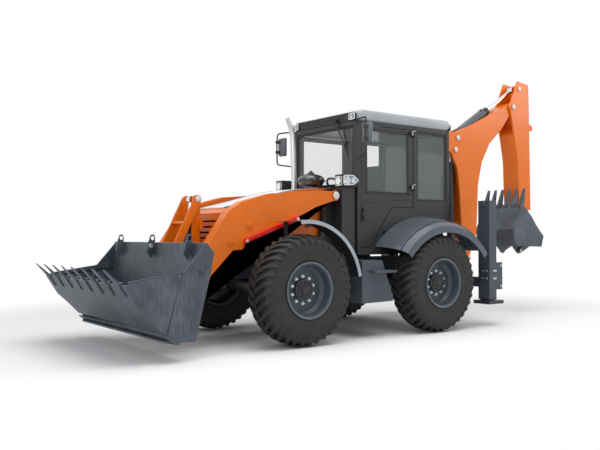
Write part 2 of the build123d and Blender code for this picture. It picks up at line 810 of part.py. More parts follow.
# Side tanks with steps
tank_y = (rail_outer_y, 1100)
with BuildPart() as side_tanks:
    for y_low, y_high in both_sides(*tank_y):
        slab([(800, 455), (800, 995), (455, 995), (303, 620), (262, 465)], y_low, y_high)
    for y_low, y_high in both_sides(tank_y[1] - 5, tank_y[1] + 110):
        block((300, 680), (y_low, y_high), (840, 870))
side_tanks.part.label = "side_tanks"
export_step(side_tanks.part, "parts/side_tanks.step")

# Rear mudguards
arch_centre = (-641, 430)
arch_angles = (40, 142)
arch_sheet = 10
arch_section = [(cab_half, 1150), (1000, 1120), (1170, 1075), (1246, 1019), (1256, 925)]
with BuildPart() as rear_guards:
    for side in (1, -1):
        inner = [(w, r - arch_sheet) for w, r in arch_section[:-1]]
        inner[-1] = (arch_section[-2][0] - 0, arch_section[-2][1] - arch_sheet)
        inner.append((arch_section[-1][0] - arch_sheet, arch_section[-1][1]))
        start_plane = Plane(
            origin=(arch_centre[0], 0, arch_centre[1]),
            x_dir=(0, 1, 0),
            z_dir=(sin(radians(arch_angles[0])), 0, -cos(radians(arch_angles[0]))),
        )
        with BuildSketch(start_plane):
            with BuildLine():
                Polyline(
                    *[(side * w, r) for w, r in arch_section],
                    *[(side * w, r) for w, r in reversed(inner)],
                    close=True,
                )
            make_face()
        revolve(
            axis=Axis((arch_centre[0], 0, arch_centre[1]), (0, -1, 0)),
            revolution_arc=arch_angles[1] - arch_angles[0],
        )
rear_guards.part.label = "rear_guards"
export_step(rear_guards.part, "parts/rear_guards.step")

# Backhoe frame with its two slide rails and the stabilizer housings
rail_z = ((560, 700), (1090, 1230))
rail_x = (-1755, -1625)
with BuildPart() as hoe_frame:
    for z_low, z_high in rail_z:
        block(rail_x, (-leg_y[0], leg_y[0]), (z_low, z_high))
    for y_low, y_high in both_sides(rail_inner_y, rail_outer_y + 260):
        block((rail_x[1], frame_rear_x), (y_low, y_high), (560, 1150))
    for y_low, y_high in both_sides(leg_y[0], leg_y[1]):
        block(leg_x, (y_low, y_high), leg_z)
        block(
            (leg_x[0] + leg_wall, leg_x[1] - leg_wall),
            (y_low + leg_wall, y_high - leg_wall),
            (leg_z[0] - 1, leg_z[1] - leg_wall),
            mode=Mode.SUBTRACT,
        )
    for y_low, y_high in both_sides(1060, 1100):
        block((-1960, leg_x[0]), (y_low, y_high), (520, 920))
hoe_frame.part.label = "hoe_frame"
export_step(hoe_frame.part, "parts/hoe_frame.step")

leg_clear = 5
for name, side in (("left", 1), ("right", -1)):
    with BuildPart() as leg:
        block(
            (leg_x[0] + leg_wall + leg_clear, leg_x[1] - leg_wall - leg_clear),
            sorted((side * (leg_y[0] + leg_wall + leg_clear), side * (leg_y[1] - leg_wall - leg_clear))),
            (360, 1600),
        )
        block(
            (leg_x[0] + leg_wall + running_fit, leg_x[1] - leg_wall - running_fit),
            sorted((side * (leg_y[0] + leg_wall + running_fit), side * (leg_y[1] - leg_wall - running_fit))),
            (1500, 1580),
        )
        block((leg_x[0] - 110, leg_x[1] + 60), sorted((side * 905, side * 1190)), (322, 372))
    leg.part.label = "leg_" + name
    export_step(leg.part, "parts/leg_" + name + ".step")

# Side-shift carriage with its kingpost ears
carriage_x = (-1845, -1761)
ear_z = ((570, 640), (1010, 1080))
ear_radius = 90
with BuildPart() as carriage:
    block(carriage_x, (-330, 330), (540, 1250))
    block((carriage_x[0], rail_x[1] + 14), (-330, 330), (rail_z[1][1] + running_fit, rail_z[1][1] + 40))
    block((rail_x[1] + 6, rail_x[1] + 14), (-330, 330), (rail_z[1][1] - 30, rail_z[1][1] + 40))
    for z_low, z_high in ear_z:
        block((kingpost_x, carriage_x[0]), (-ear_radius, ear_radius), (z_low, z_high))
        with Locations((kingpost_x, 0, (z_low + z_high) / 2)):
            Cylinder(ear_radius, z_high - z_low)
    for z_low, z_high in ear_z:
        with Locations((kingpost_x, 0, (z_low + z_high) / 2)):
            Cylinder(40 + running_fit, z_high - z_low + 2, mode=Mode.SUBTRACT)
carriage.part.label = "carriage"
export_step(carriage.part, "parts/carriage.step")

# Kingpost with the boom foot cheeks and the boom cylinder lugs
cheek_y = (boom_half + side_gap, boom_half + side_gap + 25)
with BuildPart() as kingpost:
    with Locations((kingpost_x, 0, (ear_z[0][1] + ear_z[1][0]) / 2)):
        Cylinder(85, ear_z[1][0] - ear_z[0][1] - 2 * leg_clear)
    with Locations((kingpost_x, 0, (ear_z[0][0] + ear_z[1][1]) / 2)):
        Cylinder(40, ear_z[1][1] - ear_z[0][0] + 20)
    block((kingpost_x - 115, kingpost_x), (-cheek_y[1], cheek_y[1]), (655, 995))
    for y_low, y_high in both_sides(*cheek_y):
        slab(
            [
                (kingpost_x - 80, 655),
                (boom_foot[0] - 40, boom_foot[1] - 90),
                (boom_foot[0] - 100, boom_foot[1]),
                (boom_foot[0] - 40, boom_foot[1] + 90),
                (boom_ram_base[0] - 70, boom_ram_base[1] + 50),
                (boom_ram_base[0] + 35, boom_ram_base[1] + 50),
                (boom_ram_base[0] + 35, 1090),
                (kingpost_x - 95, 1085),
                (kingpost_x - 95, 995),
            ],
            y_low,
            y_high,
        )
    disc(boom_foot, -cheek_y[1] - 20, cheek_y[1] + 20, 35)
    disc(boom_ram_base, -cheek_y[1] - 4, cheek_y[1] + 4, 30)
kingpost.part.label = "kingpost"
export_step(kingpost.part, "parts/kingpost.step")

# Boom
boom_outline = [
    (boom_foot[0] + 80, boom_foot[1] + 60),
    (-2176, 1517),
    (-2145, 2006),
    (-2085, 2397),
    (-1950, 2640),
    (-1783, 2700),
    (-1783, 2933),
    (-2088, 2991),
    (-2501, 3148),
    (-3044, 3405),
    (boom_tip[0] - 30, boom_tip[1] + 85),
    (boom_tip[0] - 90, boom_tip[1] - 20),
    (boom_tip[0] + 40, boom_tip[1] - 130),
    (-3184, 3107),
    (-2882, 2850),
    (-2687, 2533),
    (-2587, 2149),
    (-2545, 1368),
    (boom_foot[0] - 100, boom_foot[1] + 20),
    (boom_foot[0] - 60, boom_foot[1] - 80),
    (boom_foot[0] + 50, boom_foot[1] - 80),
]
ram_slot_half = 74
with BuildPart() as boom:
    slab(boom_outline, -boom_half, boom_half)
    slab(
        [
            (-1700, 2600),
            (-1700, 3100),
            (-2040, 3100),
            (-3090, 3700),
            (-3090, 3414),
            (-2260, 2888),
            (-2255, 2560),
            (-2255, 1560),
            (-2200, 1480),
            (-1900, 1480),
        ],
        -ram_slot_half,
        ram_slot_half,
        mode=Mode.SUBTRACT,
    )
    disc(boom_foot, -boom_half - 1, boom_half + 1, 35 + pin_gap, mode=Mode.SUBTRACT)
    for y_low, y_high in both_sides(boom_half, boom_half + 14):
        for pin in (boom_ram_eye, dipper_ram_base):
            disc(pin, y_low, y_high, 45)
    disc(dipper_ram_base, -ram_slot_half - 5, ram_slot_half + 5, 30)
    disc(boom_tip, -boom_half - 1, boom_half + 1, 35 + pin_gap, mode=Mode.SUBTRACT)
boom.part.label = "boom"
export_step(boom.part, "parts/boom.step")

with BuildPart() as boom_barrel:
    ram_barrel(boom_ram_base, boom_ram_eye, 0, 62, 38, 1320, 60, 30 + pin_gap)
boom_barrel.part.label = "boom_barrel"
export_step(boom_barrel.part, "parts/boom_barrel.step")

with BuildPart() as boom_rod:
    ram_rod(boom_ram_base, boom_ram_eye, 0, 38, 160, 55, 58)
boom_rod.part.label = "boom_rod"
export_step(boom_rod.part, "parts/boom_rod.step")

# Dipper
dipper_top = (-3600, 3981)
dipper_outline = [
    dipper_top,
    (-3883, 3947),
    (-3901, 3691),
    (-3925, 2500),
    (-3939, 1700),
    (rocker_pin[0] - 60, rocker_pin[1]),
    (bucket_pin[0] - 85, bucket_pin[1] + 40),
    (bucket_pin[0] - 50, bucket_pin[1] - 75),
    (bucket_pin[0] + 50, bucket_pin[1] - 75),
    (bucket_pin[0] + 88, bucket_pin[1] + 20),
    (-3640, 1700),
    (-3612, 2084),
    (-3594, 2588),
    (-3533, 2899),
    (boom_tip[0] + 60, boom_tip[1] - 90),
    (boom_tip[0] + 105, boom_tip[1]),
    (boom_tip[0] + 50, boom_tip[1] + 95),
]
tip_half = 110
with BuildPart() as dipper:
    slab(dipper_outline, -dipper_half, dipper_half)
    slab(
        [
            (-3400, 4100),
            (-3790, 4100),
            (-3790, 3420),
            (-3640, 3250),
            (-3500, 3050),
            (-3300, 3200),
        ],
        -boom_half - side_gap,
        boom_half + side_gap,
        mode=Mode.SUBTRACT,
    )
    for y_low, y_high in both_sides(tip_half, dipper_half + 1):
        block((-4300, -3400), (y_low, y_high), (1000, 1760), mode=Mode.SUBTRACT)
    disc(boom_tip, -dipper_half - 16, dipper_half + 16, 35)
    for y_low, y_high in both_sides(dipper_half, dipper_half + 14):
        disc(dipper_ram_eye, y_low, y_high, 42)
    disc(bucket_pin, -tip_half - 1, tip_half + 1, 35 + pin_gap, mode=Mode.SUBTRACT)
    for y_low, y_high in both_sides(62, 92):
        slab(
            [
                (-3890, 3330),
                (bucket_ram_base[0] - 40, bucket_ram_base[1] + 40),
                (bucket_ram_base[0] - 45, bucket_ram_base[1] - 40),
                (bucket_ram_base[0] + 20, bucket_ram_base[1] - 50),
                (-3890, 3120),
            ],
            y_low,
            y_high,
        )
    disc(bucket_ram_base, -70, 70, 28)
    disc(rocker_pin, -tip_half - 30, tip_half + 30, 30)
dipper.part.label = "dipper"
export_step(dipper.part, "parts/dipper.step")

with BuildPart() as dipper_barrel:
    ram_barrel(dipper_ram_base, dipper_ram_eye, 0, 62, 36, 1010, 60, 30 + pin_gap)
dipper_barrel.part.label = "dipper_barrel"
export_step(dipper_barrel.part, "parts/dipper_barrel.step")

with BuildPart() as dipper_rod:
    ram_rod(dipper_ram_base, dipper_ram_eye, 0, 36, 720, 50, 52)
dipper_rod.part.label = "dipper_rod"
export_step(dipper_rod.part, "parts/dipper_rod.step")

with BuildPart() as crowd_barrel:
    ram_barrel(bucket_ram_base, rocker_end, 0, 48, 30, 1180, 55, 28 + pin_gap)
crowd_barrel.part.label = "crowd_barrel"
export_step(crowd_barrel.part, "parts/crowd_barrel.step")

with BuildPart() as crowd_rod:
    ram_rod(bucket_ram_base, rocker_end, 0, 30, 900, 45, 46)
crowd_rod.part.label = "crowd_rod"
export_step(crowd_rod.part, "parts/crowd_rod.step")

# Bucket rocker and link
with BuildPart() as rocker:
    for y_low, y_high in both_sides(tip_half + side_gap, tip_half + side_gap + 22):
        strap(rocker_pin, rocker_end, y_low, y_high, 46, 0)
        disc(rocker_pin, y_low, y_high, 30 + pin_gap, mode=Mode.SUBTRACT)
    for y_low, y_high in both_sides(tip_half + side_gap + 21, 204):
        disc(rocker_end, y_low, y_high, 26)
rocker.part.label = "rocker"
export_step(rocker.part, "parts/rocker.step")

with BuildPart() as hoe_link:
    for y_low, y_high in both_sides(182, 204):
        strap(rocker_end, bucket_link_pin, y_low, y_high, 44, 0)
        disc(rocker_end, y_low, y_high, 26 + pin_gap, mode=Mode.SUBTRACT)
    for y_low, y_high in both_sides(204, 214):
        disc(bucket_link_pin, y_low, y_high, 34)
hoe_link.part.label = "hoe_link"
export_step(hoe_link.part, "parts/hoe_link.step")

# Backhoe bucket, curled up under the dipper
hoe_side = [
    (-3390, 1850),
    (-3628, 1652),
    (-3780, 1480),
    (-3970, 1306),
    (-3910, 1122),
    (-3237, 1144),
    (-3175, 1230),
    (-3155, 1420),
]
hoe_shell = [
    (-3390, 1850),
    (-3155, 1420),
    (-3175, 1230),
    (-3237, 1144),
    (-3560, 1150),
    (-3650, 1330),
    (-3628, 1340),
    (-3548, 1170),
    (-3245, 1164),
    (-3195, 1236),
    (-3176, 1416),
    (-3405, 1838),
]
with BuildPart() as hoe_bucket:
    slab(hoe_shell, -hoe_bucket_half + 1, hoe_bucket_half - 1)
    for y_low, y_high in both_sides(hoe_bucket_half - 16, hoe_bucket_half):
        slab(hoe_side, y_low, y_high)
    for y_low, y_high in both_sides(tip_half + side_gap + 34, tip_half + side_gap + 59):
        slab(
            [
                (-3885, 1230),
                (-3870, 1330),
                (-3800, 1350),
                (-3640, 1335),
                (-3550, 1165),
                (-3400, 1155),
                (bucket_link_pin[0] + 50, bucket_link_pin[1] - 30),
                (bucket_link_pin[0], bucket_link_pin[1] - 55),
                (bucket_link_pin[0] - 60, bucket_link_pin[1]),
                (-3850, 1190),
            ],
            y_low,
            y_high,
        )
    disc(bucket_pin, -tip_half - side_gap - 59, tip_half + side_gap + 59, 35)
    for tooth in range(6):
        tooth_y = -370 + tooth * 148
        slab(
            [(-3350, 1770), (-3345, 1830), (-3478, 2112), (-3440, 1850), (-3410, 1800)],
            tooth_y - 28,
            tooth_y + 28,
        )
hoe_bucket.part.label = "hoe_bucket"
export_step(hoe_bucket.part, "parts/hoe_bucket.step")
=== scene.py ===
"""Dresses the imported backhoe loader: finishes, treaded tyres, glass, lamps, seat and small parts."""

import json
from math import cos, pi, radians, sin, sqrt

import bmesh
import bpy
from bpy.props import FloatProperty, FloatVectorProperty, IntProperty, PointerProperty
from bpy.types import Operator, Panel, PropertyGroup
from mathutils import Matrix, Vector


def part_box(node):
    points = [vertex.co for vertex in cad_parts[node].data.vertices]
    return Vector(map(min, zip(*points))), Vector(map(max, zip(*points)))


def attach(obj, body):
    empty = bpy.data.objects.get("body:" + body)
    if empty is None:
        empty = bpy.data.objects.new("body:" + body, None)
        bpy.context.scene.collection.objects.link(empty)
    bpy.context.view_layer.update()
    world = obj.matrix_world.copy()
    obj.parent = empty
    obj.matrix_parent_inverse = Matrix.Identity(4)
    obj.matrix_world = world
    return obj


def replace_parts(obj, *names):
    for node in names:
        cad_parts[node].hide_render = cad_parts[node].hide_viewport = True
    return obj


bl_info = {
    "name": "Backhoe Loader",
    "version": (1, 0, 0),
    "blender": (4, 5, 0),
    "location": "View3D > Sidebar > Backhoe",
    "description": "Dresses a packed backhoe loader with finishes, tyres, glass and small parts",
    "category": "Object",
}

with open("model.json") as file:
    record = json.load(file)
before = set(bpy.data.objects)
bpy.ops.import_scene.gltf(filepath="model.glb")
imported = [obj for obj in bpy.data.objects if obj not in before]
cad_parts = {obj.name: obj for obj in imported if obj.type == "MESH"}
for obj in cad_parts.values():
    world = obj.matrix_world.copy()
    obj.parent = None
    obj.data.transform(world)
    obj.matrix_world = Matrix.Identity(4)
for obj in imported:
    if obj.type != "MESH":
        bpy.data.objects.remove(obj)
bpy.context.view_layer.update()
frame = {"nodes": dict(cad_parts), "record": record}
nodes = frame["nodes"]
CORNERS = ("front_left", "front_right", "rear_left", "rear_right")
SIDES = (("left", 1), ("right", -1))


def across(side, near, far):
    """Two distances from the middle of the machine, on one side, as the lower and the higher Y."""
    return sorted((side * near, side * far))


def middle(node):
    """Centre of a node's box."""
    low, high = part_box(node)
    return (low + high) / 2


def linear(code):
    """An sRGB hex colour as linear red, green and blue."""
    channels = [int(code[i : i + 2], 16) / 255 for i in (1, 3, 5)]
    return tuple(c / 12.92 if c <= 0.04045 else ((c + 0.055) / 1.055) ** 2.4 for c in channels)


class BackhoeFinish(PropertyGroup):
    """Colours that a fleet owner would change."""

    body: FloatVectorProperty(
        name="Body paint",
        description="Hood, loader arms and boom",
        subtype="COLOR",
        size=3,
        default=linear("#E46E04"),
    )
    chassis: FloatVectorProperty(
        name="Chassis paint",
        description="Buckets, rims and frames",
        subtype="COLOR",
        size=3,
        default=linear("#444A53"),
    )
    trim: FloatVectorProperty(
        name="Cab paint",
        description="Cab frame, towers and doors",
        subtype="COLOR",
        size=3,
        default=linear("#2C2D2F"),
    )
    lock: FloatVectorProperty(
        name="Lock strut",
        description="Safety strut on the left arm",
        subtype="COLOR",
        size=3,
        default=linear("#E0180F"),
    )


class BackhoeSizes(PropertyGroup):
    """Sizes of the pieces that the scene adds."""

    edge: FloatProperty(name="Edge radius", description="Rounding of plates", default=0.004, unit="LENGTH")
    worn_edge: FloatProperty(name="Worn edge", description="Bare steel width", default=0.006, unit="LENGTH")
    lug_width: FloatProperty(name="Lug width", description="Width of a lug", default=0.05, unit="LENGTH")
    lug_count: IntProperty(name="Lugs", description="Lugs on each side of a tyre", default=36, min=8, max=60)
    wheel_nuts: IntProperty(name="Wheel nuts", description="Nuts on each wheel", default=10, min=4, max=20)
    seal: FloatProperty(name="Window seal", description="Width of the rubber", default=0.032, unit="LENGTH")
    camera_lens: FloatProperty(name="Lens", description="Focal length", default=0.043524, unit="LENGTH")


# Materials

MM = 0.001
# Glass behind this place along the machine is the smoked rear pane
SMOKED_GLASS_X = -1.195
SMOKED_GLASS_FADE = 0.01
paints = {}


def add(tree, kind, settings=None, sockets=(), **links):
    """Adds a node, sets its properties or inputs, and links its inputs by place or by name."""
    node = tree.nodes.new(kind)
    for name, value in (settings or {}).items():
        if hasattr(node, name):
            setattr(node, name, value)
        else:
            node.inputs[name].default_value = value
    for place, socket in enumerate(sockets):
        tree.links.new(socket, node.inputs[place])
    for name, socket in links.items():
        tree.links.new(socket, node.inputs[name.replace("_", " ")])
    return node


def new_material(name, **settings):
    """A material with one principled shader whose inputs are set by name."""
    material = bpy.data.materials.new(name)
    material.use_nodes = True
    shader = material.node_tree.nodes["Principled BSDF"]
    for key, value in settings.items():
        shader.inputs[key.replace("_", " ")].default_value = value
    return material, material.node_tree, shader


def grain(tree, size_mm, detail=3.0, stretch=(1, 1, 1)):
    """Noise on object coordinates whose spots are about size_mm wide."""
    where = add(tree, "ShaderNodeTexCoord")
    placed = add(tree, "ShaderNodeMapping", {"Scale": stretch}, Vector=where.outputs["Object"])
    return add(
        tree,
        "ShaderNodeTexNoise",
        {"Scale": 1 / (size_mm * MM), "Detail": detail},
        Vector=placed.outputs["Vector"],
    )


def vary(tree, shader, noise, dark, pale, low=0.3, high=0.7):
    """Colours the shader between two tones by a noise."""
    ramp = add(tree, "ShaderNodeValToRGB", {}, Fac=noise.outputs["Fac"])
    ramp.color_ramp.elements[0].position = low
    ramp.color_ramp.elements[0].color = (*dark, 1)
    ramp.color_ramp.elements[1].position = high
    ramp.color_ramp.elements[1].color = (*pale, 1)
    tree.links.new(ramp.outputs["Color"], shader.inputs["Base Color"])
    return ramp


def rough(tree, shader, noise, low, high):
    """Spreads the roughness between two values by a noise."""
    span = add(tree, "ShaderNodeMapRange", {"To Min": low, "To Max": high}, Value=noise.outputs["Fac"])
    tree.links.new(span.outputs["Result"], shader.inputs["Roughness"])


def bump(tree, shader, noise, depth_mm, strength=1.0):
    """Raises the surface by a noise."""
    raised = add(
        tree, "ShaderNodeBump", {"Strength": strength, "Distance": depth_mm * MM}, Height=noise.outputs["Fac"]
    )
    tree.links.new(raised.outputs["Normal"], shader.inputs["Normal"])


def tint(colour, factor):
    """A lighter or darker tone of a colour."""
    return tuple(min(1.0, c * factor) for c in colour)


def enamel(name, colour, gloss, spread=0.06):
    """Two-pack enamel sprayed on steel plate: even, with a thin gloss, orange peel and road dust."""
    material, tree, shader = new_material(
        name, Specular_IOR_Level=0.35, Coat_Weight=0.12, Coat_Roughness=0.12
    )
    patches = grain(tree, 420, 4.0)
    ramp = vary(tree, shader, patches, tint(colour, 1 - spread), tint(colour, 1 + spread))
    dust = grain(tree, 60, 6.0)
    facing = add(tree, "ShaderNodeNewGeometry")
    upward = add(tree, "ShaderNodeSeparateXYZ", {}, Vector=facing.outputs["Normal"])
    # Dust lies only where a face looks up, and hides a twentieth of the paint at most
    lying = add(
        tree,
        "ShaderNodeMapRange",
        {"From Min": 0.55, "From Max": 1.0, "To Max": 0.05},
        Value=upward.outputs["Z"],
    )
    both = (lying.outputs["Result"], dust.outputs["Fac"])
    amount = add(tree, "ShaderNodeMath", {"operation": "MULTIPLY"}, both)
    film = add(tree, "ShaderNodeMix", {"data_type": "RGBA"}, Factor=amount.outputs["Value"])
    tree.links.new(ramp.outputs["Color"], film.inputs[6])
    film.inputs[7].default_value = (*linear("#B9B1A3"), 1)
    tree.links.new(film.outputs[2], shader.inputs["Base Color"])
    rough(tree, shader, dust, gloss - 0.05, gloss + 0.09)
    bump(tree, shader, grain(tree, 5, 2.0), 0.08, 0.35)
    return material


def worn_plate(name, colour):
    """Enamel on rolled plate, rubbed in long streaks by soil: slate with a dull metal sheen."""
    material, tree, shader = new_material(name, Metallic=0.3, Specular_IOR_Level=0.5)
    streaks = grain(tree, 22, 8.0, (1, 1, 0.16))
    patches = grain(tree, 300, 3.0)
    both = (streaks.outputs["Fac"], patches.outputs["Fac"])
    wear = add(tree, "ShaderNodeMath", {"operation": "MULTIPLY"}, both)
    ramp = add(tree, "ShaderNodeValToRGB", {}, Fac=wear.outputs["Value"])
    ramp.color_ramp.elements[0].position = 0.14
    ramp.color_ramp.elements[0].color = (*tint(colour, 0.8), 1)
    ramp.color_ramp.elements[1].position = 0.42
    ramp.color_ramp.elements[1].color = (*tint(colour, 1.9), 1)
    tree.links.new(ramp.outputs["Color"], shader.inputs["Base Color"])
    rough(tree, shader, streaks, 0.34, 0.58)
    bump(tree, shader, streaks, 0.5, 0.3)
    return material


def tyre_rubber():
    """Vulcanised rubber: warm charcoal, dull, greyed by dust in patches."""
    material, tree, shader = new_material("tyre_rubber", Specular_IOR_Level=0.4)
    patches = grain(tree, 90, 6.0)
    vary(tree, shader, patches, linear("#1C1B1A"), linear("#2F2D2B"))
    rough(tree, shader, patches, 0.55, 0.8)
    bump(tree, shader, grain(tree, 3, 4.0), 0.5, 0.4)
    return material


def moulded_plastic(name, dark, pale, low, high):
    """Injection-moulded ABS or PP: an even tone with a fine pebbled grain."""
    material, tree, shader = new_material(name, IOR=1.5)
    grains = grain(tree, 2.5, 3.0)
    vary(tree, shader, grain(tree, 120, 3.0), linear(dark), linear(pale))
    rough(tree, shader, grains, low, high)
    bump(tree, shader, grains, 0.15, 0.5)
    return material


def cab_pane():
    """Toughened float glass that passes light straight through, clear all round and smoked at the rear."""
    material, tree, shader = new_material("toughened_glass", IOR=1.52, Specular_IOR_Level=0.5)
    where = add(tree, "ShaderNodeTexCoord")
    along = add(tree, "ShaderNodeSeparateXYZ", {}, Vector=where.outputs["Object"])
    front = add(
        tree,
        "ShaderNodeMapRange",
        {"From Min": SMOKED_GLASS_X - SMOKED_GLASS_FADE, "From Max": SMOKED_GLASS_X + SMOKED_GLASS_FADE},
        Value=along.outputs["X"],
    )
    smoke = add(tree, "ShaderNodeValToRGB", {}, Fac=front.outputs["Result"])
    smoke.color_ramp.elements[0].color = (*linear("#26282A"), 1)
    smoke.color_ramp.elements[1].color = (*linear("#C9D1D2"), 1)
    tree.links.new(smoke.outputs["Color"], shader.inputs["Base Color"])
    body = add(tree, "ShaderNodeMapRange", {"To Min": 0.86, "To Max": 0.1}, Value=front.outputs["Result"])
    tree.links.new(body.outputs["Result"], shader.inputs["Alpha"])
    rough(tree, shader, grain(tree, 160, 5.0), 0.0, 0.04)
    return material


def lamp_lens():
    """Moulded polycarbonate lens: clear, with shallow ribs."""
    material, tree, shader = new_material(
        "lamp_lens",
        Base_Color=(*linear("#F2F5F6"), 1),
        Roughness=0.06,
        IOR=1.58,
        Transmission_Weight=0.9,
    )
    where = add(tree, "ShaderNodeTexCoord")
    ribs = add(
        tree,
        "ShaderNodeTexWave",
        {"Scale": 22.0, "bands_direction": "Y"},
        Vector=where.outputs["Object"],
    )
    bump(tree, shader, ribs, 0.8, 0.5)
    return material


def bright_metal(name, colour, low, high, spot_mm):
    """Chrome, silvering or vapour-coated plastic: a mirror broken only by a thin film."""
    material, tree, shader = new_material(name, Base_Color=(*linear(colour), 1), Metallic=1.0)
    rough(tree, shader, grain(tree, spot_mm, 4.0), low, high)
    return material


def smoked_bowl():
    """Smoked polycarbonate bowl: near-black and glossy, with greyer bands where dust shows through."""
    material, tree, shader = new_material("smoked_bowl", IOR=1.58, Coat_Weight=0.6, Coat_Roughness=0.05)
    vary(tree, shader, grain(tree, 70, 3.0, (1, 1, 3)), linear("#17181A"), linear("#3A3C3F"))
    rough(tree, shader, grain(tree, 40, 3.0), 0.06, 0.22)
    return material


def worn_steel():
    """Bare mild steel, ground by soil: bright scratches over a brown-grey skin."""
    material, tree, shader = new_material("worn_steel", Metallic=0.7)
    scratches = grain(tree, 14, 6.0, (1, 0.12, 1))
    vary(tree, shader, scratches, linear("#6E7276"), linear("#B4B7BA"))
    rough(tree, shader, scratches, 0.35, 0.6)
    bump(tree, shader, scratches, 0.3, 0.4)
    return material


def heat_steel():
    """Stainless exhaust pipe: pale, a little dull, and brushed along its length."""
    material, tree, shader = new_material("exhaust_steel", Metallic=0.9)
    lines = grain(tree, 5, 4.0, (1, 1, 0.05))
    vary(tree, shader, lines, linear("#B4B3B1"), linear("#E2E1DF"))
    rough(tree, shader, lines, 0.28, 0.46)
    bump(tree, shader, lines, 0.1, 0.3)
    return material


def seat_cloth():
    """Coated seat cloth: near-black, with a low sheen and a grain drawn coarse enough to show."""
    material, tree, shader = new_material("seat_cloth", Sheen_Weight=0.3, Sheen_Roughness=0.5)
    weave = grain(tree, 4, 2.0, (1, 3, 1))
    vary(tree, shader, weave, linear("#1D1E20"), linear("#34353A"))
    rough(tree, shader, weave, 0.7, 0.9)
    bump(tree, shader, weave, 0.6, 0.7)
    return material


def make_materials(finish):
    """Every finish of the machine, by the name that the pieces use."""
    slate = tuple(finish.chassis)
    paints["orange"] = enamel("body_enamel", tuple(finish.body), 0.34)
    paints["slate"] = enamel("chassis_enamel", slate, 0.4, 0.1)
    # Lighter copy of the chassis slate: painted highlight on the rim flanges
    paints["rim"] = enamel("rim_highlight_enamel", tint(slate, 1.9), 0.36, 0.08)
    # Lighter, glossier copy of the chassis slate for the rear guards; the lighter tone is painted highlight
    paints["guard"] = enamel("guard_highlight_enamel", tint(slate, 1.35), 0.26, 0.05)
    paints["bucket"] = worn_plate("bucket_plate", slate)
    paints["black"] = enamel("cab_enamel", tuple(finish.trim), 0.34)
    paints["pale"] = enamel("roof_enamel", linear("#A4A9AE"), 0.36)
    paints["red"] = enamel("lock_enamel", tuple(finish.lock), 0.28)
    paints["hood_white"] = enamel("hood_enamel", linear("#E4E7E8"), 0.3, 0.02)
    paints["pin_white"] = enamel("pin_enamel", linear("#D7DADB"), 0.32, 0.03)
    # Blue-grey painted shade along the hood's rounded edges
    paints["edge_shade_blue"] = enamel("hood_edge_shade_enamel", linear("#7C8A99"), 0.34, 0.03)
    paints["iron"] = enamel("cast_iron", linear("#222427"), 0.6)
    paints["rubber"] = tyre_rubber()
    paints["plastic"] = moulded_plastic("moulded_plastic", "#1B1C1E", "#2B2D2F", 0.42, 0.6)
    paints["grey_plastic"] = moulded_plastic("grey_plastic", "#53565A", "#686C70", 0.36, 0.52)
    paints["seal"] = moulded_plastic("window_rubber", "#0E0E0F", "#19191A", 0.5, 0.68)
    paints["glass"] = cab_pane()
    paints["lens"] = lamp_lens()
    paints["reflector"] = bright_metal("lamp_reflector", "#E6E9EA", 0.1, 0.3, 14)
    paints["chrome"] = bright_metal("chromed_rod", "#D9DCDE", 0.07, 0.2, 35)
    paints["mirror"] = bright_metal("mirror_glass", "#DDE2E4", 0.02, 0.06, 90)
    paints["zinc"] = bright_metal("zinc_plate", "#D2D4D5", 0.26, 0.44, 6)
    paints["bowl"] = smoked_bowl()
    paints["steel"] = worn_steel()
    paints["exhaust"] = heat_steel()
    paints["cloth"] = seat_cloth()


# Which finish each record slot gets, and the nodes that differ from their slot
slot_finish = {
    "orange": "orange",
    "slate": "slate",
    "black": "black",
    "pale": "pale",
    "steel": "exhaust",
    "chrome": "chrome",
    "red": "red",
    "iron": "iron",
    "tyre": "rubber",
    "plastic": "plastic",
    "fabric": "cloth",
    "lens": "lens",
    "glass": "glass",
}
node_finish = {
    "hood_panel": "hood_white",
    "precleaner": "bowl",
    "loader_bucket": "bucket",
    "bucket_jaw": "bucket",
    "hoe_bucket": "bucket",
    # The rear guards get the slate's lighter copy as a painted highlight
    "rear_guards": "guard",
    "knuckle_front_left": "iron",
    "knuckle_front_right": "iron",
}
worn_nodes = ("loader_bucket", "bucket_jaw", "hoe_bucket")
# Walls with openings keep their triangles, because one face can't hold a hole
windowed_nodes = ("cab_frame", "door_left", "door_right")


# Shaping


def fresh_since(bm, known):
    """The vertices that were made after a set of them was noted."""
    return [v for v in bm.verts if v not in known]


def cylinder(bm, start, end, radius, end_radius=None, segments=24):
    """A round bar or cone between two points."""
    start, end = Vector(start), Vector(end)
    axis = end - start
    turn = Vector((0, 0, 1)).rotation_difference(axis).to_matrix().to_4x4()
    bmesh.ops.create_cone(
        bm,
        cap_ends=True,
        segments=segments,
        radius1=radius,
        radius2=radius if end_radius is None else end_radius,
        depth=axis.length,
        matrix=Matrix.Translation((start + end) / 2) @ turn,
    )


def box(bm, low, high):
    """A block between two corners."""
    low, high = Vector(low), Vector(high)
    size = high - low
    stretch = Matrix.Diagonal((abs(size.x), abs(size.y), abs(size.z), 1))
    bmesh.ops.create_cube(bm, size=1, matrix=Matrix.Translation((low + high) / 2) @ stretch)


def thicken(bm, faces, push):
    """Extrudes loose faces by a vector into a closed plate."""
    made = bmesh.ops.extrude_face_region(bm, geom=faces)
    moved = [v for v in made["geom"] if isinstance(v, bmesh.types.BMVert)]
    bmesh.ops.translate(bm, verts=moved, vec=push)


def plate(bm, outline, y_low, y_high):
    """A plate with an X-Z outline between two Y values."""
    face = bm.faces.new([bm.verts.new((x, y_low, z)) for x, z in outline])
    thicken(bm, [face], (0, y_high - y_low, 0))


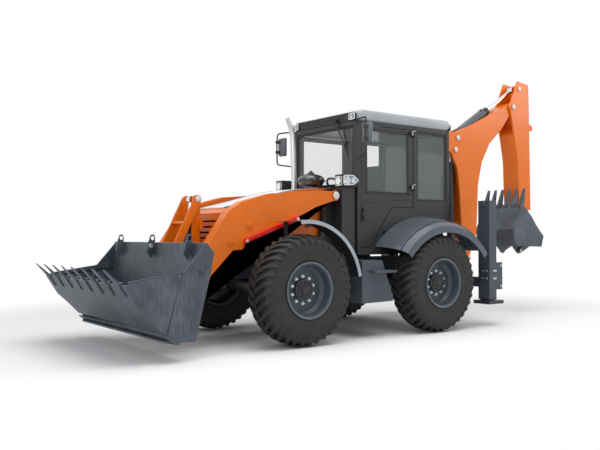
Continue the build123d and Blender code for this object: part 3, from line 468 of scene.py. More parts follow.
def lathe(bm, profile, centre, axis, steps=48, closed=False):
    """Spins a profile, given as distances along an axis and radii, right round that axis."""
    known = set(bm.verts)
    verts = [bm.verts.new((radius, 0, along)) for along, radius in profile]
    ends = verts[1:] + (verts[:1] if closed else [])
    edges = [bm.edges.new(pair) for pair in zip(verts, ends)]
    bmesh.ops.spin(
        bm,
        geom=verts + edges,
        cent=(0, 0, 0),
        axis=(0, 0, 1),
        angle=2 * pi,
        steps=steps,
        use_merge=True,
    )
    bmesh.ops.remove_doubles(bm, verts=fresh_since(bm, known), dist=1e-6)
    turn = Vector((0, 0, 1)).rotation_difference(Vector(axis)).to_matrix().to_4x4()
    bmesh.ops.transform(bm, matrix=Matrix.Translation(centre) @ turn, verts=fresh_since(bm, known))


def arc_bar(bm, centre, angles, radii, y_range, steps=24):
    """A bar of rectangular section that follows an arc about a cross axis."""
    start, end = (radians(a) for a in angles)
    x, z = centre
    corners = [(radii[0], y_range[0]), (radii[1], y_range[0]), (radii[1], y_range[1]), (radii[0], y_range[1])]
    face = bm.faces.new([bm.verts.new((x + r * cos(start), y, z + r * sin(start))) for r, y in corners])
    bmesh.ops.spin(
        bm,
        geom=list(face.verts) + list(face.edges) + [face],
        cent=(x, 0, z),
        axis=(0, -1, 0),
        angle=end - start,
        steps=steps,
    )


def rounded_ring(bm, corners, width, push, corner=0.04):
    """A flat strip round an opening with rounded corners, as thick as a vector."""
    known = set(bm.faces)
    verts = [bm.verts.new(c) for c in corners]
    bm.faces.new(verts)
    bmesh.ops.bevel(
        bm,
        geom=verts,
        offset=corner,
        segments=4,
        profile=0.5,
        affect="VERTICES",
        material=-1,
        clamp_overlap=True,
    )
    inner = [f for f in bm.faces if f not in known]
    ring = bmesh.ops.inset_region(
        bm, faces=inner, thickness=width, use_boundary=True, use_even_offset=True
    )["faces"]
    bmesh.ops.delete(bm, geom=inner, context="FACES")
    thicken(bm, ring, push)


def bevel(bm, width, segments=2, limit=radians(30), verts=None):
    """Rounds every edge that turns by more than the limit."""
    chosen = set(verts) if verts else None
    edges = [
        e
        for e in bm.edges
        if len(e.link_faces) == 2 and e.calc_face_angle(0) > limit
        if chosen is None or e.verts[0] in chosen
    ]
    bmesh.ops.bevel(
        bm,
        geom=edges,
        offset=width,
        segments=segments,
        profile=0.5,
        affect="EDGES",
        material=-1,
        clamp_overlap=True,
    )


SHARP_ANGLE = radians(32)


def piece(name, bm, finish, body):
    """Turns a bmesh into an object at the origin, finished and riding on a body."""
    mesh = bpy.data.meshes.new(name)
    bmesh.ops.recalc_face_normals(bm, faces=bm.faces)
    for face in bm.faces:
        face.smooth = True
    for edge in bm.edges:
        edge.smooth = len(edge.link_faces) == 2 and edge.calc_face_angle(0) < SHARP_ANGLE
    bm.to_mesh(mesh)
    bm.free()
    made = bpy.data.objects.new(name, mesh)
    bpy.context.scene.collection.objects.link(made)
    mesh.materials.append(paints[finish])
    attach(made, body)
    return made


def pipe(name, points, radius, finish, body):
    """A bent tube on a smooth curve through a few points."""
    curve = bpy.data.curves.new(name, "CURVE")
    curve.dimensions = "3D"
    curve.bevel_depth = radius
    curve.bevel_resolution = 5
    curve.resolution_u = 10
    curve.use_fill_caps = True
    spline = curve.splines.new("NURBS")
    spline.points.add(len(points) - 1)
    for point, place in zip(spline.points, points):
        point.co = (*place, 1)
    spline.order_u = 3
    spline.use_endpoint_u = True
    made = bpy.data.objects.new(name, curve)
    bpy.context.scene.collection.objects.link(made)
    curve.materials.append(paints[finish])
    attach(made, body)
    return made


def hexagon_head(bm, centre, axis, radius, height):
    """A bolt head with its washer, standing on a face."""
    axis = Vector(axis).normalized()
    centre = Vector(centre)
    washer_top = centre + axis * height * 0.25
    head_foot = centre + axis * height * 0.2
    cylinder(bm, centre, washer_top, radius * 1.45, segments=16)
    cylinder(bm, head_foot, centre + axis * height, radius, segments=6)


# Pieces


class BACKHOE_OT_frame_finish(Operator):
    """Gives each CAD node its finish and softens its edges."""

    bl_idname = "backhoe.frame_finish"
    bl_label = "Frame Finishes"

    def execute(self, context):
        make_materials(context.scene.backhoe_finish)
        sizes = context.scene.backhoe_sizes
        slots = {entry["node"]: entry["material_slot"] for entry in frame["record"]["subparts"]}
        for name, node in nodes.items():
            finish = node_finish.get(name, slot_finish[slots[name]])
            node.data.materials.clear()
            node.data.materials.append(paints[finish])
            if "tyre" in name or "glass" in name:
                continue
            weld = node.modifiers.new("weld", "WELD")
            weld.merge_threshold = 0.02 * MM
            if name not in windowed_nodes:
                plates = node.modifiers.new("plates", "DECIMATE")
                plates.decimate_type = "DISSOLVE"
                plates.angle_limit = radians(0.6)
            soft = node.modifiers.new("soft edge", "BEVEL")
            soft.width = sizes.edge
            soft.segments = 2
            soft.limit_method = "ANGLE"
            soft.angle_limit = radians(28)
            soft.use_clamp_overlap = True
            soft.miter_outer = "MITER_ARC"
            if name in worn_nodes:
                node.data.materials.append(paints["steel"])
                soft.width = sizes.worn_edge
                soft.material = 1
            shade = node.modifiers.new("shade", "WEIGHTED_NORMAL")
            shade.keep_sharp = True
            for face in node.data.polygons:
                face.use_smooth = True
        return {"FINISHED"}


class BACKHOE_OT_tyres(Operator):
    """Builds the four treaded tyres, each a revolved carcass with two rows of slanted lugs."""

    bl_idname = "backhoe.tyres"
    bl_label = "Tyres"

    lean = radians(30)
    half_width = 0.2045
    # Where a lug starts past the middle line, the radius of its foot, and its gap below the wheel's radius
    lug_start = -0.012
    lug_foot = 0.55
    tread_gap = 0.003
    side_profile = (
        # distance from the middle of the tread, radius
        (0.0, 0.628),
        (0.13, 0.626),
        (0.176, 0.612),
        (0.192, 0.585),
        (0.202, 0.54),
        (half_width, 0.49),
        (0.2, 0.425),
        (0.194, 0.385),
        (0.197, 0.376),
        (0.197, 0.364),
        (0.192, 0.356),
        (0.182, 0.341),
        (0.18, 0.3205),
    )
    lug_line = (
        # share of the lug's length, fall below the tread radius
        (0.0, 0.004),
        (0.5, 0.006),
        (0.75, 0.024),
        (0.9, 0.048),
        (1.0, 0.096),
    )

    def execute(self, context):
        sizes = context.scene.backhoe_sizes
        for corner in CORNERS:
            node = "tyre_" + corner
            centre = middle("rim_" + corner)
            centre.y = middle(node).y
            bm = bmesh.new()
            profile = list(self.side_profile[::-1]) + [(-y, r) for y, r in self.side_profile[1:]]
            lathe(bm, profile, (0, 0, 0), (0, 1, 0), steps=96, closed=True)
            for hand in (1, -1):
                self.lugs(bm, hand, centre.z, sizes.lug_count, sizes.lug_width)
            bmesh.ops.translate(bm, verts=bm.verts, vec=centre)
            made = piece("treaded_" + node, bm, "rubber", "wheel_" + corner)
            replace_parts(made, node)
        return {"FINISHED"}

    def lugs(self, bm, hand, radius, count, width):
        """One side's row: a bar cut from a side profile, turned to its lean and repeated round the wheel."""
        inner = self.lug_start
        outer = self.half_width / cos(self.lean)
        outline = [(outer, self.lug_foot - 0.01), (inner, self.lug_foot + 0.05)]
        for share, fall in self.lug_line:
            reach = inner + share * (outer - inner)
            top = radius - self.tread_gap - fall
            outline.append((reach, sqrt(top**2 - (reach * sin(self.lean)) ** 2)))
        known = set(bm.verts)
        plate(bm, outline, -width / 2, width / 2)
        bevel(bm, 0.004, 1, radians(40), fresh_since(bm, known))
        verts = fresh_since(bm, known)
        turn = Matrix.Rotation(hand * (pi / 2 + self.lean), 4, "Z")
        stagger = Matrix.Rotation(pi / count if hand < 0 else 0, 4, "Y")
        bmesh.ops.transform(bm, matrix=stagger @ turn, verts=verts)
        faces = list({f for v in verts for f in v.link_faces})
        edges = list({e for v in verts for e in v.link_edges})
        bmesh.ops.spin(
            bm,
            geom=verts + edges + faces,
            cent=(0, 0, 0),
            axis=(0, 1, 0),
            angle=2 * pi * (count - 1) / count,
            steps=count - 1,
            use_duplicate=True,
        )


class BACKHOE_OT_wheel_parts(Operator):
    """Adds nuts, a bolted hub cover, and a flange ring in lighter slate as a painted highlight, to each rim.
    """

    bl_idname = "backhoe.wheel_parts"
    bl_label = "Wheel Parts"

    cover_bolts = 10
    cover = (
        # distance outwards, radius
        (0, 0),
        (0, 0.112),
        (0.008, 0.112),
        (0.012, 0.106),
        (0.012, 0.06),
        (0.024, 0.052),
        (0.026, 0),
    )
    flange = (
        # distance outwards, radius
        (0.0, 0.3185),
        (0.0, 0.3365),
        (0.006, 0.3365),
        (0.0075, 0.33),
        (0.004, 0.3185),
    )

    def execute(self, context):
        count = context.scene.backhoe_sizes.wheel_nuts
        for corner in CORNERS:
            side = 1 if corner.endswith("left") else -1
            body = "wheel_" + corner
            centre = middle("rim_" + corner)
            middle_y = middle("tyre_" + corner).y
            out = (0, side, 0)
            nuts = bmesh.new()
            disc_y = middle_y + side * 0.034
            self.round_of_bolts(nuts, centre, disc_y, 0.16, count, side, radius=0.0135, height=0.028)
            piece("wheel_nuts_" + corner, nuts, "zinc", body)
            hub = bmesh.new()
            face = Vector((centre.x, middle_y + side * 0.0845, centre.z))
            lathe(hub, self.cover, face, out, 40)
            rim_y = face.y + side * 0.011
            bolts = self.cover_bolts
            self.round_of_bolts(hub, centre, rim_y, 0.088, bolts, side, radius=0.0085, height=0.013)
            piece("hub_cover_" + corner, hub, "plastic", body)
            # A ring over the rim's outer flange, in lighter slate as a painted highlight
            ring = bmesh.new()
            lathe(ring, self.flange, (centre.x, middle_y + side * 0.1945, centre.z), out, 96, closed=True)
            piece("rim_flange_highlight_" + corner, ring, "rim", body)
        return {"FINISHED"}

    def round_of_bolts(self, bm, centre, y, circle, count, side, radius, height):
        """Bolt heads evenly round a circle about the wheel's axis."""
        for index in range(count):
            angle = 2 * pi * (index + 0.5) / count
            spot = (centre.x + circle * cos(angle), y, centre.z + circle * sin(angle))
            hexagon_head(bm, spot, (0, side, 0), radius, height)


class BACKHOE_OT_pins(Operator):
    """Caps each hinge pin at both ends with a domed cover."""

    bl_idname = "backhoe.pins"
    bl_label = "Pin Caps"

    pins = (
        # name, body, x, z, distance of the pin's end from the middle, radius, finish
        ("arm_pivot", "chassis", 0.872, 1.835, 0.676, 0.05, "pin_white"),
        ("bucket_hinge", "loader_arms", 2.95, 0.5, 0.7005, 0.03, "zinc"),
        ("lever_foot", "loader_arms", 2.64, 1.13, 0.1503, 0.036, "pin_white"),
        ("lever_top", "tilt_lever", 2.625, 1.757, 0.1763, 0.036, "pin_white"),
        ("boom_foot", "kingpost", -2.27, 0.95, 0.1763, 0.042, "pin_white"),
        ("boom_ram_base", "kingpost", -2.06, 1.18, 0.1603, 0.034, "zinc"),
        ("boom_ram_eye", "boom", -2.041, 2.689, 0.1393, 0.04, "pin_white"),
        ("dipper_ram_base", "boom", -2.097, 2.882, 0.1393, 0.04, "pin_white"),
        ("boom_tip", "dipper", -3.466, 3.519, 0.1763, 0.042, "pin_white"),
        ("dipper_ram_eye", "dipper", -3.625, 3.849, 0.1743, 0.038, "pin_white"),
        ("rocker", "dipper", -3.915, 1.543, 0.1403, 0.03, "zinc"),
        ("hoe_bucket", "hoe_bucket", -3.8, 1.26, 0.1753, 0.034, "pin_white"),
        ("rocker_end", "rocker", -4.026, 1.25, 0.2043, 0.027, "zinc"),
        ("hoe_link", "hoe_link", -3.59, 1.06, 0.2143, 0.03, "pin_white"),
    )

    def execute(self, context):
        for name, body, x, z, reach, radius, finish in self.pins:
            bm = bmesh.new()
            for _, side in SIDES:
                dome = (
                    # distance outwards, radius
                    (0, 0),
                    (0, radius),
                    (0.005, radius),
                    (0.011, 0.72 * radius),
                    (0.014, 0.36 * radius),
                    (0.015, 0),
                )
                lathe(bm, dome, (x, side * reach, z), (0, side, 0), 32)
            piece("pin_caps_" + name, bm, finish, body)
        return {"FINISHED"}


class BACKHOE_OT_cylinders(Operator):
    """Adds a ribbed gland nut to every cylinder, and a hard line with two ports where it has one."""

    bl_idname = "backhoe.cylinders"
    bl_label = "Cylinder Details"

    gland_grooves = 4
    groove_step = 0.02
    port_radius = 0.017
    line_radius = 0.0085
    line_height = 0.018
    rams = (
        # body, base, eye, places across, barrel radius, rod radius, barrel length, hand of the hard line
        ("lift_barrels", (0.95, 1.15), (2.465, 1.232), (0.585, -0.585), 0.05, 0.032, 1.29, -1),
        ("tilt_barrel", (2.7, 1.0), (2.625, 1.757), (0,), 0.055, 0.032, 0.555, 0),
        ("boom_barrel", (-2.06, 1.18), (-2.041, 2.689), (0,), 0.062, 0.038, 1.32, 0),
        ("dipper_barrel", (-2.097, 2.882), (-3.625, 3.849), (0,), 0.062, 0.036, 1.01, -1),
        ("crowd_barrel", (-4.05, 3.212), (-4.026, 1.25), (0,), 0.048, 0.03, 1.18, 0),
    )

    def execute(self, context):
        for body, base, eye, places, radius, rod, length, hand in self.rams:
            run = Vector((eye[0] - base[0], 0, eye[1] - base[1])).normalized()
            out = Vector((run.z, 0, -run.x)) * -hand
            glands = bmesh.new()
            lines = bmesh.new()
            for y in places:
                start = Vector((base[0], y, base[1]))
                lathe(glands, self.gland(radius, rod), start + run * length, run, 40, closed=True)
                if hand:
                    near = start + run * 0.11
                    far = start + run * (length - 0.12)
                    for port in (near, far):
                        foot = port + out * (radius - 0.004)
                        cylinder(lines, foot, port + out * (radius + 0.03), self.port_radius, segments=12)
                    rise = out * (radius + self.line_height)
                    cylinder(lines, near + rise, far + rise, self.line_radius, segments=12)
            piece("gland_" + body, glands, "plastic", body)
            if hand:
                piece("hard_line_" + body, lines, "black", body)
            else:
                lines.free()
        return {"FINISHED"}

    def gland(self, radius, rod):
        """A gland nut's profile: a grooved collar on the barrel, closed by a wiper ring round the rod."""
        crest = radius + 0.004
        wiper = rod + 0.002
        profile = [(-0.085, radius - 0.001), (-0.085, crest)]
        for groove in range(self.gland_grooves):
            at = -0.078 + self.groove_step * groove
            profile += [(at, crest), (at + 0.003, radius + 0.001), (at + 0.006, crest)]
        profile += [(0.001, radius + 0.003), (0.006, radius - 0.006), (0.006, wiper), (0.001, wiper)]
        profile += [(0.001, radius - 0.001)]
        return profile


class BACKHOE_OT_buckets(Operator):
    """Bolts the clam hinge, the lifting ear and the lock strut, and adds the arms' bosses."""

    bl_idname = "backhoe.buckets"
    bl_label = "Bucket Fasteners"

    # Profiles as distance outwards, radius
    clam_cap = ((0, 0), (0, 0.03), (0.006, 0.03), (0.008, 0.024), (0.008, 0))
    boss = ((0, 0), (0, 0.036), (0.004, 0.036), (0.007, 0.028), (0.007, 0))

    def execute(self, context):
        bm = bmesh.new()
        for _, side in SIDES:
            centre = Vector((3.153, side * 1.2465, 0.922))
            lathe(bm, self.clam_cap, centre, (0, side, 0), 32)
            hexagon_head(bm, centre + Vector((0, side * 0.007, 0)), (0, side, 0), 0.013, 0.014)
        piece("clam_bolts", bm, "slate", "loader_bucket")
        bm = bmesh.new()
        for _, side in SIDES:
            hexagon_head(bm, (3.168, side * 0.0155, 1.19), (0, side, 0), 0.02, 0.016)
        piece("ear_bolt", bm, "zinc", "loader_bucket")
        bm = bmesh.new()
        for x, z in ((2.258, 1.249), (1.515, 1.519)):
            hexagon_head(bm, (x, 0.7103, z), (0, 1, 0), 0.014, 0.014)
        piece("strut_bolts", bm, "zinc", "loader_arms")
        bm = bmesh.new()
        for x, z in ((2.465, 1.232), (2.195, 1.44)):
            for _, side in SIDES:
                lathe(bm, self.boss, (x, side * 0.6682, z), (0, side, 0), 32)
        piece("arm_bosses", bm, "orange", "loader_arms")
        return {"FINISHED"}


class BACKHOE_OT_hood_trim(Operator):
    """Edges the hood with blue-grey strips of painted shade, latches it, bolts the nose, and replaces the air
    cleaner and the exhaust pipe.
    """

    bl_idname = "backhoe.hood_trim"
    bl_label = "Hood Trim"

    hood_line = ((2.34, 1.65), (1.898, 1.757), (1.5, 1.86), (1.234, 1.913), (0.915, 1.94))
    hood_top = 1.9405
    cleaner = (0.771, 0)
    bowl = (
        # height above the hood, radius
        (0.0, 0.0),
        (0.0, 0.08),
        (0.05, 0.08),
        (0.07, 0.16),
        (0.13, 0.19),
        (0.165, 0.183),
        (0.198, 0.15),
        (0.22, 0.09),
        (0.2285, 0.0),
    )
    # More profiles as height, radius
    cap = ((0, 0), (0, 0.05), (0.01, 0.05), (0.02, 0.036), (0.03, 0.018), (0.044, 0.014), (0.048, 0))
    band = ((0.0, 0.185), (0.0, 0.194), (0.012, 0.195), (0.024, 0.194), (0.024, 0.185))
    collar = ((0, 0.036), (0, 0.054), (0.03, 0.054), (0.03, 0.036))
    stack_y = -0.35
    stack = (
        # x, z
        (0.805, 1.941),
        (0.812, 2.2),
        (0.823, 2.6),
        (0.835, 2.8),
        (0.92, 2.975),
    )

    def execute(self, context):
        bm = bmesh.new()
        # Strips along both edges of the pale hood top, blue-grey as painted shade on the rounded edge
        raised = [(x, z + 0.016) for x, z in reversed(self.hood_line)]
        for _, side in SIDES:
            plate(bm, list(self.hood_line) + raised, *across(side, 0.302, 0.352))
        bevel(bm, 0.003, 2)
        piece("hood_edge_shade_strips", bm, "edge_shade_blue", "chassis")
        bm = bmesh.new()
        for _, side in SIDES:
            for x_bolt, z_bolt in ((2.40, 0.99), (2.40, 0.84)):
                hexagon_head(bm, (x_bolt, side * 0.4503, z_bolt), (0, side, 0), 0.014, 0.014)
            for z_bolt in (0.99, 0.845):
                hexagon_head(bm, (2.5863, side * 0.38, z_bolt), (1, 0, 0), 0.012, 0.012)
        piece("nose_bolts", bm, "zinc", "chassis")
        bm = bmesh.new()
        lathe(bm, self.bowl, (*self.cleaner, self.hood_top), (0, 0, 1), 48)
        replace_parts(piece("cleaner_bowl", bm, "bowl", "chassis"), "precleaner")
        bm = bmesh.new()
        lathe(bm, self.cap, (*self.cleaner, 2.1665), (0, 0, 1), 32)
        lathe(bm, self.band, (*self.cleaner, 2.056), (0, 0, 1), 48, closed=True)
        piece("cleaner_cap", bm, "plastic", "chassis")
        points = [(x, self.stack_y, z) for x, z in self.stack]
        made = pipe("exhaust_stack", points, 0.038, "exhaust", "chassis")
        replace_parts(made, "exhaust")
        bm = bmesh.new()
        lathe(bm, self.collar, (0.805, self.stack_y, self.hood_top), (0, 0, 1), 32, closed=True)
        piece("exhaust_collar", bm, "exhaust", "chassis")
        bm = bmesh.new()
        for _, side in SIDES:
            low, high = across(side, 0.4203, 0.432)
            box(bm, (1.12, low, 1.42), (1.19, high, 1.455))
            box(bm, (2.20, low, 1.42), (2.27, high, 1.455))
        bevel(bm, 0.004, 2)
        piece("hood_latches", bm, "plastic", "chassis")
        return {"FINISHED"}


class BACKHOE_OT_cab_trim(Operator):
    """Replaces the roof, and adds its fascias, rubber round the fixed panes, the wiper and side seams."""

    bl_idname = "backhoe.cab_trim"
    bl_label = "Cab Trim"

    roof_line = ((-1.27, 2.93), (-1.19, 2.8515), (0.524, 2.8515), (0.524, 2.95), (0.48, 2.999), (-1.2, 2.999))
    roof_half = 0.734
    front_pane_x = 0.5262
    rear_pane_x = -1.2122
    side_pane_y = 0.7012

    def execute(self, context):
        seal = context.scene.backhoe_sizes.seal
        bm = bmesh.new()
        plate(bm, self.roof_line, -self.roof_half, self.roof_half)
        bevel(bm, 0.03, 4, radians(20))
        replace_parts(piece("roof_shell", bm, "pale", "chassis"), "roof")
        bm = bmesh.new()
        for x_low, x_high, half, face_x in ((0.524, 0.556, 0.655, 1), (-1.30, -1.272, 0.6, -1)):
            known = set(bm.faces)
            box(bm, (x_low, -half, 2.856), (x_high, half, 2.966))
            fresh = [f for f in bm.faces if f not in known]
            front = max(fresh, key=lambda f: f.calc_center_median().x * face_x)
            bmesh.ops.inset_region(bm, faces=[front], thickness=0.022, use_even_offset=True)
            bmesh.ops.translate(bm, verts=front.verts, vec=(-0.012 * face_x, 0, 0))
        bevel(bm, 0.006, 2)
        for vent in range(3):
            z = 2.886 + 0.02 * vent
            box(bm, (0.543, -0.42, z), (0.549, 0.42, z + 0.009))
        piece("roof_fascia", bm, "plastic", "chassis")
        bm = bmesh.new()
        front = [(self.front_pane_x, y, z) for y, z in self.window(0.64, 1.99, 2.79)]
        rounded_ring(bm, front, seal, (0.013, 0, 0))
        rear = [(self.rear_pane_x, y, z) for y, z in self.window(0.64, 1.56, 2.79)]
        rounded_ring(bm, rear, seal, (-0.013, 0, 0))
        outline = [(-1.18, 1.8), (-0.56, 1.8), (-0.56, 2.79), (-1.18, 2.79)]
        for _, side in SIDES:
            pane = [(x, side * self.side_pane_y, z) for x, z in outline]
            rounded_ring(bm, pane, seal, (0, side * 0.013, 0))
        bevel(bm, 0.003, 1, radians(60))
        piece("window_rubbers", bm, "seal", "chassis")
        bm = bmesh.new()
        cylinder(bm, (0.552, 0.29, 2.885), (0.586, 0.29, 2.885), 0.026)
        cylinder(bm, (0.578, 0.29, 2.885), (0.574, 0.53, 2.44), 0.009, 0.006, 12)
        cylinder(bm, (0.578, 0.255, 2.878), (0.574, 0.508, 2.52), 0.005, 0.005, 12)
        cylinder(bm, (0.562, 0.45, 2.80), (0.562, 0.55, 2.34), 0.008, 0.008, 12)
        box(bm, (0.540, 0.49, 2.55), (0.572, 0.525, 2.59))
        piece("wiper", bm, "seal", "chassis")
        bm = bmesh.new()
        for _, side in SIDES:
            seam = [(-1.2, 1.62), (-0.53, 1.62), (-0.53, 1.628), (-1.2, 1.628)]
            plate(bm, seam, *across(side, 0.7203, 0.7223))
            for x, z in ((-1.2, 2.82), (-0.53, 2.82), (-1.2, 1.75), (0.50, 2.82), (0.50, 1.2)):
                hexagon_head(bm, (x, side * 0.7203, z), (0, side, 0), 0.008, 0.008)
        piece("cab_seams", bm, "seal", "chassis")
        return {"FINISHED"}

    def window(self, half, low, high):
        """The Y and Z of an upright window's corners."""
        return [(-half, low), (half, low), (half, high), (-half, high)]


class BACKHOE_OT_doors(Operator):
    """Adds handle, lock, belt line, window rubber and hinge bolts to both doors."""

    bl_idname = "backhoe.doors"
    bl_label = "Door Trim"

    pane_y = 0.7012
    skin_y = 0.7152
    pane_line = ((0.4, 1.88), (0.4, 2.755), (-0.41, 2.755), (-0.41, 1.88))
    belt_line = ((0.455, 1.735), (0.455, 1.742), (0.0, 1.795), (-0.49, 1.822), (-0.49, 1.815), (0.0, 1.788))
    handle_x = 0.451
    hinge_levels = (1.963, 2.72)
    hinge_bolts = (0.014, 0.046)
    # Distance upwards, radius
    hinge_cap = ((0, 0), (0, 0.017), (0.006, 0.017), (0.012, 0.008), (0.012, 0))

    def execute(self, context):
        seal = context.scene.backhoe_sizes.seal
        x = self.handle_x
        for name, side in SIDES:
            body = "door_" + name
            out = (0, side, 0)
            bm = bmesh.new()
            pane = [(along, side * self.pane_y, z) for along, z in self.pane_line]
            rounded_ring(bm, pane, seal, (0, side * 0.016, 0), 0.05)
            bevel(bm, 0.003, 1, radians(60))
            plate(bm, self.belt_line, *across(side, self.skin_y, 0.7192))
            piece("door_rubber_" + name, bm, "seal", body)
            bm = bmesh.new()
            for z in (1.535, 1.667):
                cylinder(bm, (x, side * 0.7145, z), (x, side * 0.755, z), 0.013, 0.011)
            cylinder(bm, (x, side * 0.752, 1.52), (x, side * 0.752, 1.682), 0.0125)
            low, high = across(side, self.skin_y, 0.728)
            box(bm, (0.432, low, 1.50), (0.47, high, 1.70))
            bevel(bm, 0.003, 2)
            piece("door_handle_" + name, bm, "plastic", body)
            bm = bmesh.new()
            cylinder(bm, (x, side * 0.727, 1.60), (x, side * 0.734, 1.60), 0.011)
            for level in self.hinge_levels:
                for rise in self.hinge_bolts:
                    hexagon_head(bm, (-0.452, side * 0.7463, level + rise), out, 0.0085, 0.009)
                lathe(bm, self.hinge_cap, (-0.5, side * 0.738, level + 0.0605), (0, 0, 1), 24)
            piece("door_bolts_" + name, bm, "zinc", body)
        return {"FINISHED"}


class BACKHOE_OT_lamps(Operator):
    """Replaces the plain lamps by headlamps with bezel, reflector and lens, and square work lamps."""

    bl_idname = "backhoe.lamps"
    bl_label = "Lamps"

    side_line = ((0.828, 1.966), (0.828, 2.1), (0.66, 2.104), (0.566, 2.04), (0.66, 1.978))
    shell_line = ((0.838, 1.953), (0.838, 2.112), (0.64, 2.115), (0.561, 2.045), (0.6, 1.953))
    lens_line = ((0.82, 1.974), (0.82, 2.092), (0.664, 2.096), (0.578, 2.04), (0.664, 1.986))
    front_line = ((0.618, 1.966), (0.75, 1.966), (0.75, 2.086), (0.618, 2.086))
    side_y = 0.7642
    front_x = 0.8382
    # Distance outwards, radius
    front_cup = ((0, 0), (0, 0.05), (0.01, 0.05), (0.003, 0.018), (0.003, 0))
    work_cup = ((0, 0), (0, 0.03), (0.006, 0.03), (0.001, 0.01), (0.001, 0))
    work_y = 0.63
    work_half = 0.06
    # Heights of the work lamps' shells and of their lenses
    work_z = (2.862, 2.95)
    work_lens_z = (2.874, 2.938)
    work_rim = 0.012

    def execute(self, context):
        shell = bmesh.new()
        bright = bmesh.new()
        lens = bmesh.new()
        for _, side in SIDES:
            self.headlamp(shell, bright, lens, side)
            self.work_lamps(shell, bright, lens, side)
        bevel(shell, 0.009, 3)
        bevel(bright, 0.0015, 1, radians(60))
        for made in (
            piece("lamp_housings", shell, "plastic", "chassis"),
            piece("lamp_reflectors", bright, "reflector", "chassis"),
            piece("lamp_lenses", lens, "lens", "chassis"),
        ):
            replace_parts(made, "lamps")
        return {"FINISHED"}

    def headlamp(self, shell, bright, lens, side):
        """A cluster on the tower: its bezels, two round reflectors on the side and one in front."""
        plate(shell, self.shell_line, side * 0.602, side * 0.764)
        bezel = [(x, side * self.side_y, z) for x, z in self.side_line]
        rounded_ring(bright, bezel, 0.012, (0, side * 0.014, 0), 0.018)
        front = [(self.front_x, side * y, z) for y, z in self.front_line]
        rounded_ring(bright, front, 0.01, (-0.004, 0, 0), 0.02)
        for x, z, radius in ((0.765, 2.034, 0.052), (0.662, 2.04, 0.038)):
            cup = ((0, 0), (0, radius), (0.012, radius), (0.004, 0.3 * radius), (0.004, 0))
            lathe(bright, cup, (x, side * self.side_y, z), (0, side, 0), 32)
        lathe(bright, self.front_cup, (self.front_x, side * 0.684, 2.026), (1, 0, 0), 32)
        plate(lens, self.lens_line, side * 0.7775, side * 0.7795)

    def work_lamps(self, shell, bright, lens, side):
        """A square lamp at the front edge of the roof, and a plainer one at its rear edge."""
        low, high = across(side, self.work_y - self.work_half, self.work_y + self.work_half)
        foot, top = self.work_z
        lens_foot, lens_top = self.work_lens_z
        box(shell, (0.53, low, foot), (0.566, high, top))
        square = [(0.5662, y, z) for y, z in ((low, foot), (high, foot), (high, top), (low, top))]
        rounded_ring(bright, square, self.work_rim, (0.006, 0, 0), 0.012)
        lathe(bright, self.work_cup, (0.5663, side * self.work_y, 2.906), (1, 0, 0), 24)
        left = low + self.work_rim
        right = high - self.work_rim
        box(lens, (0.5705, left, lens_foot), (0.573, right, lens_top))
        box(shell, (-1.306, low, foot), (-1.272, high, top))
        box(lens, (-1.3095, left, lens_foot), (-1.3065, right, lens_top))


class BACKHOE_OT_mirrors(Operator):
    """Replaces the plain mirrors by moulded heads with glass, clamped to bent tube arms."""

    bl_idname = "backhoe.mirrors"
    bl_label = "Mirrors"

    head_z = 2.645
    # How much narrower and lower the front of a head is than its glass side
    head_taper = (1, 0.8, 0.88, 1)

    def execute(self, context):
        heads = bmesh.new()
        panes = bmesh.new()
        for _, side in SIDES:
            low, high = across(side, 0.862, 1.048)
            known = set(heads.verts)
            box(heads, (0.563, low, 2.502), (0.618, high, 2.788))
            front = [v for v in fresh_since(heads, known) if v.co.x > 0.6]
            middle_y = (low + high) / 2
            shrink = Matrix.Translation((0, middle_y, self.head_z)) @ Matrix.Diagonal(self.head_taper)
            centred = Matrix.Translation((0, -middle_y, -self.head_z))
            bmesh.ops.transform(heads, matrix=shrink @ centred, verts=front)
            box(panes, (0.5605, low + 0.014, 2.52), (0.5627, high - 0.014, 2.77))
        bevel(heads, 0.02, 4)
        bevel(panes, 0.0006, 1)
        made = [piece("mirror_heads", heads, "grey_plastic", "chassis")]
        made.append(piece("mirror_panes", panes, "mirror", "chassis"))
        for name, side in SIDES:
            loop = [
                (0.54, side * 0.69, 2.83),
                (0.60, side * 0.74, 2.845),
                (0.625, side * 0.96, 2.85),
                (0.64, side * 1.0, 2.84),
                (0.655, side * 1.0, 2.75),
                (0.655, side * 1.0, 2.45),
                (0.65, side * 0.99, 2.38),
                (0.62, side * 0.93, 2.365),
                (0.57, side * 0.72, 2.335),
                (0.54, side * 0.69, 2.33),
            ]
            made.append(pipe("mirror_arm_" + name, loop, 0.011, "plastic", "chassis"))
        clamps = bmesh.new()
        for _, side in SIDES:
            for z in (2.57, 2.72):
                low, high = across(side, 0.975, 1.02)
                box(clamps, (0.605, low, z - 0.02), (0.672, high, z + 0.02))
        bevel(clamps, 0.005, 2)
        made.append(piece("mirror_clamps", clamps, "plastic", "chassis"))
        for thing in made:
            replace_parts(thing, "mirrors")
        return {"FINISHED"}


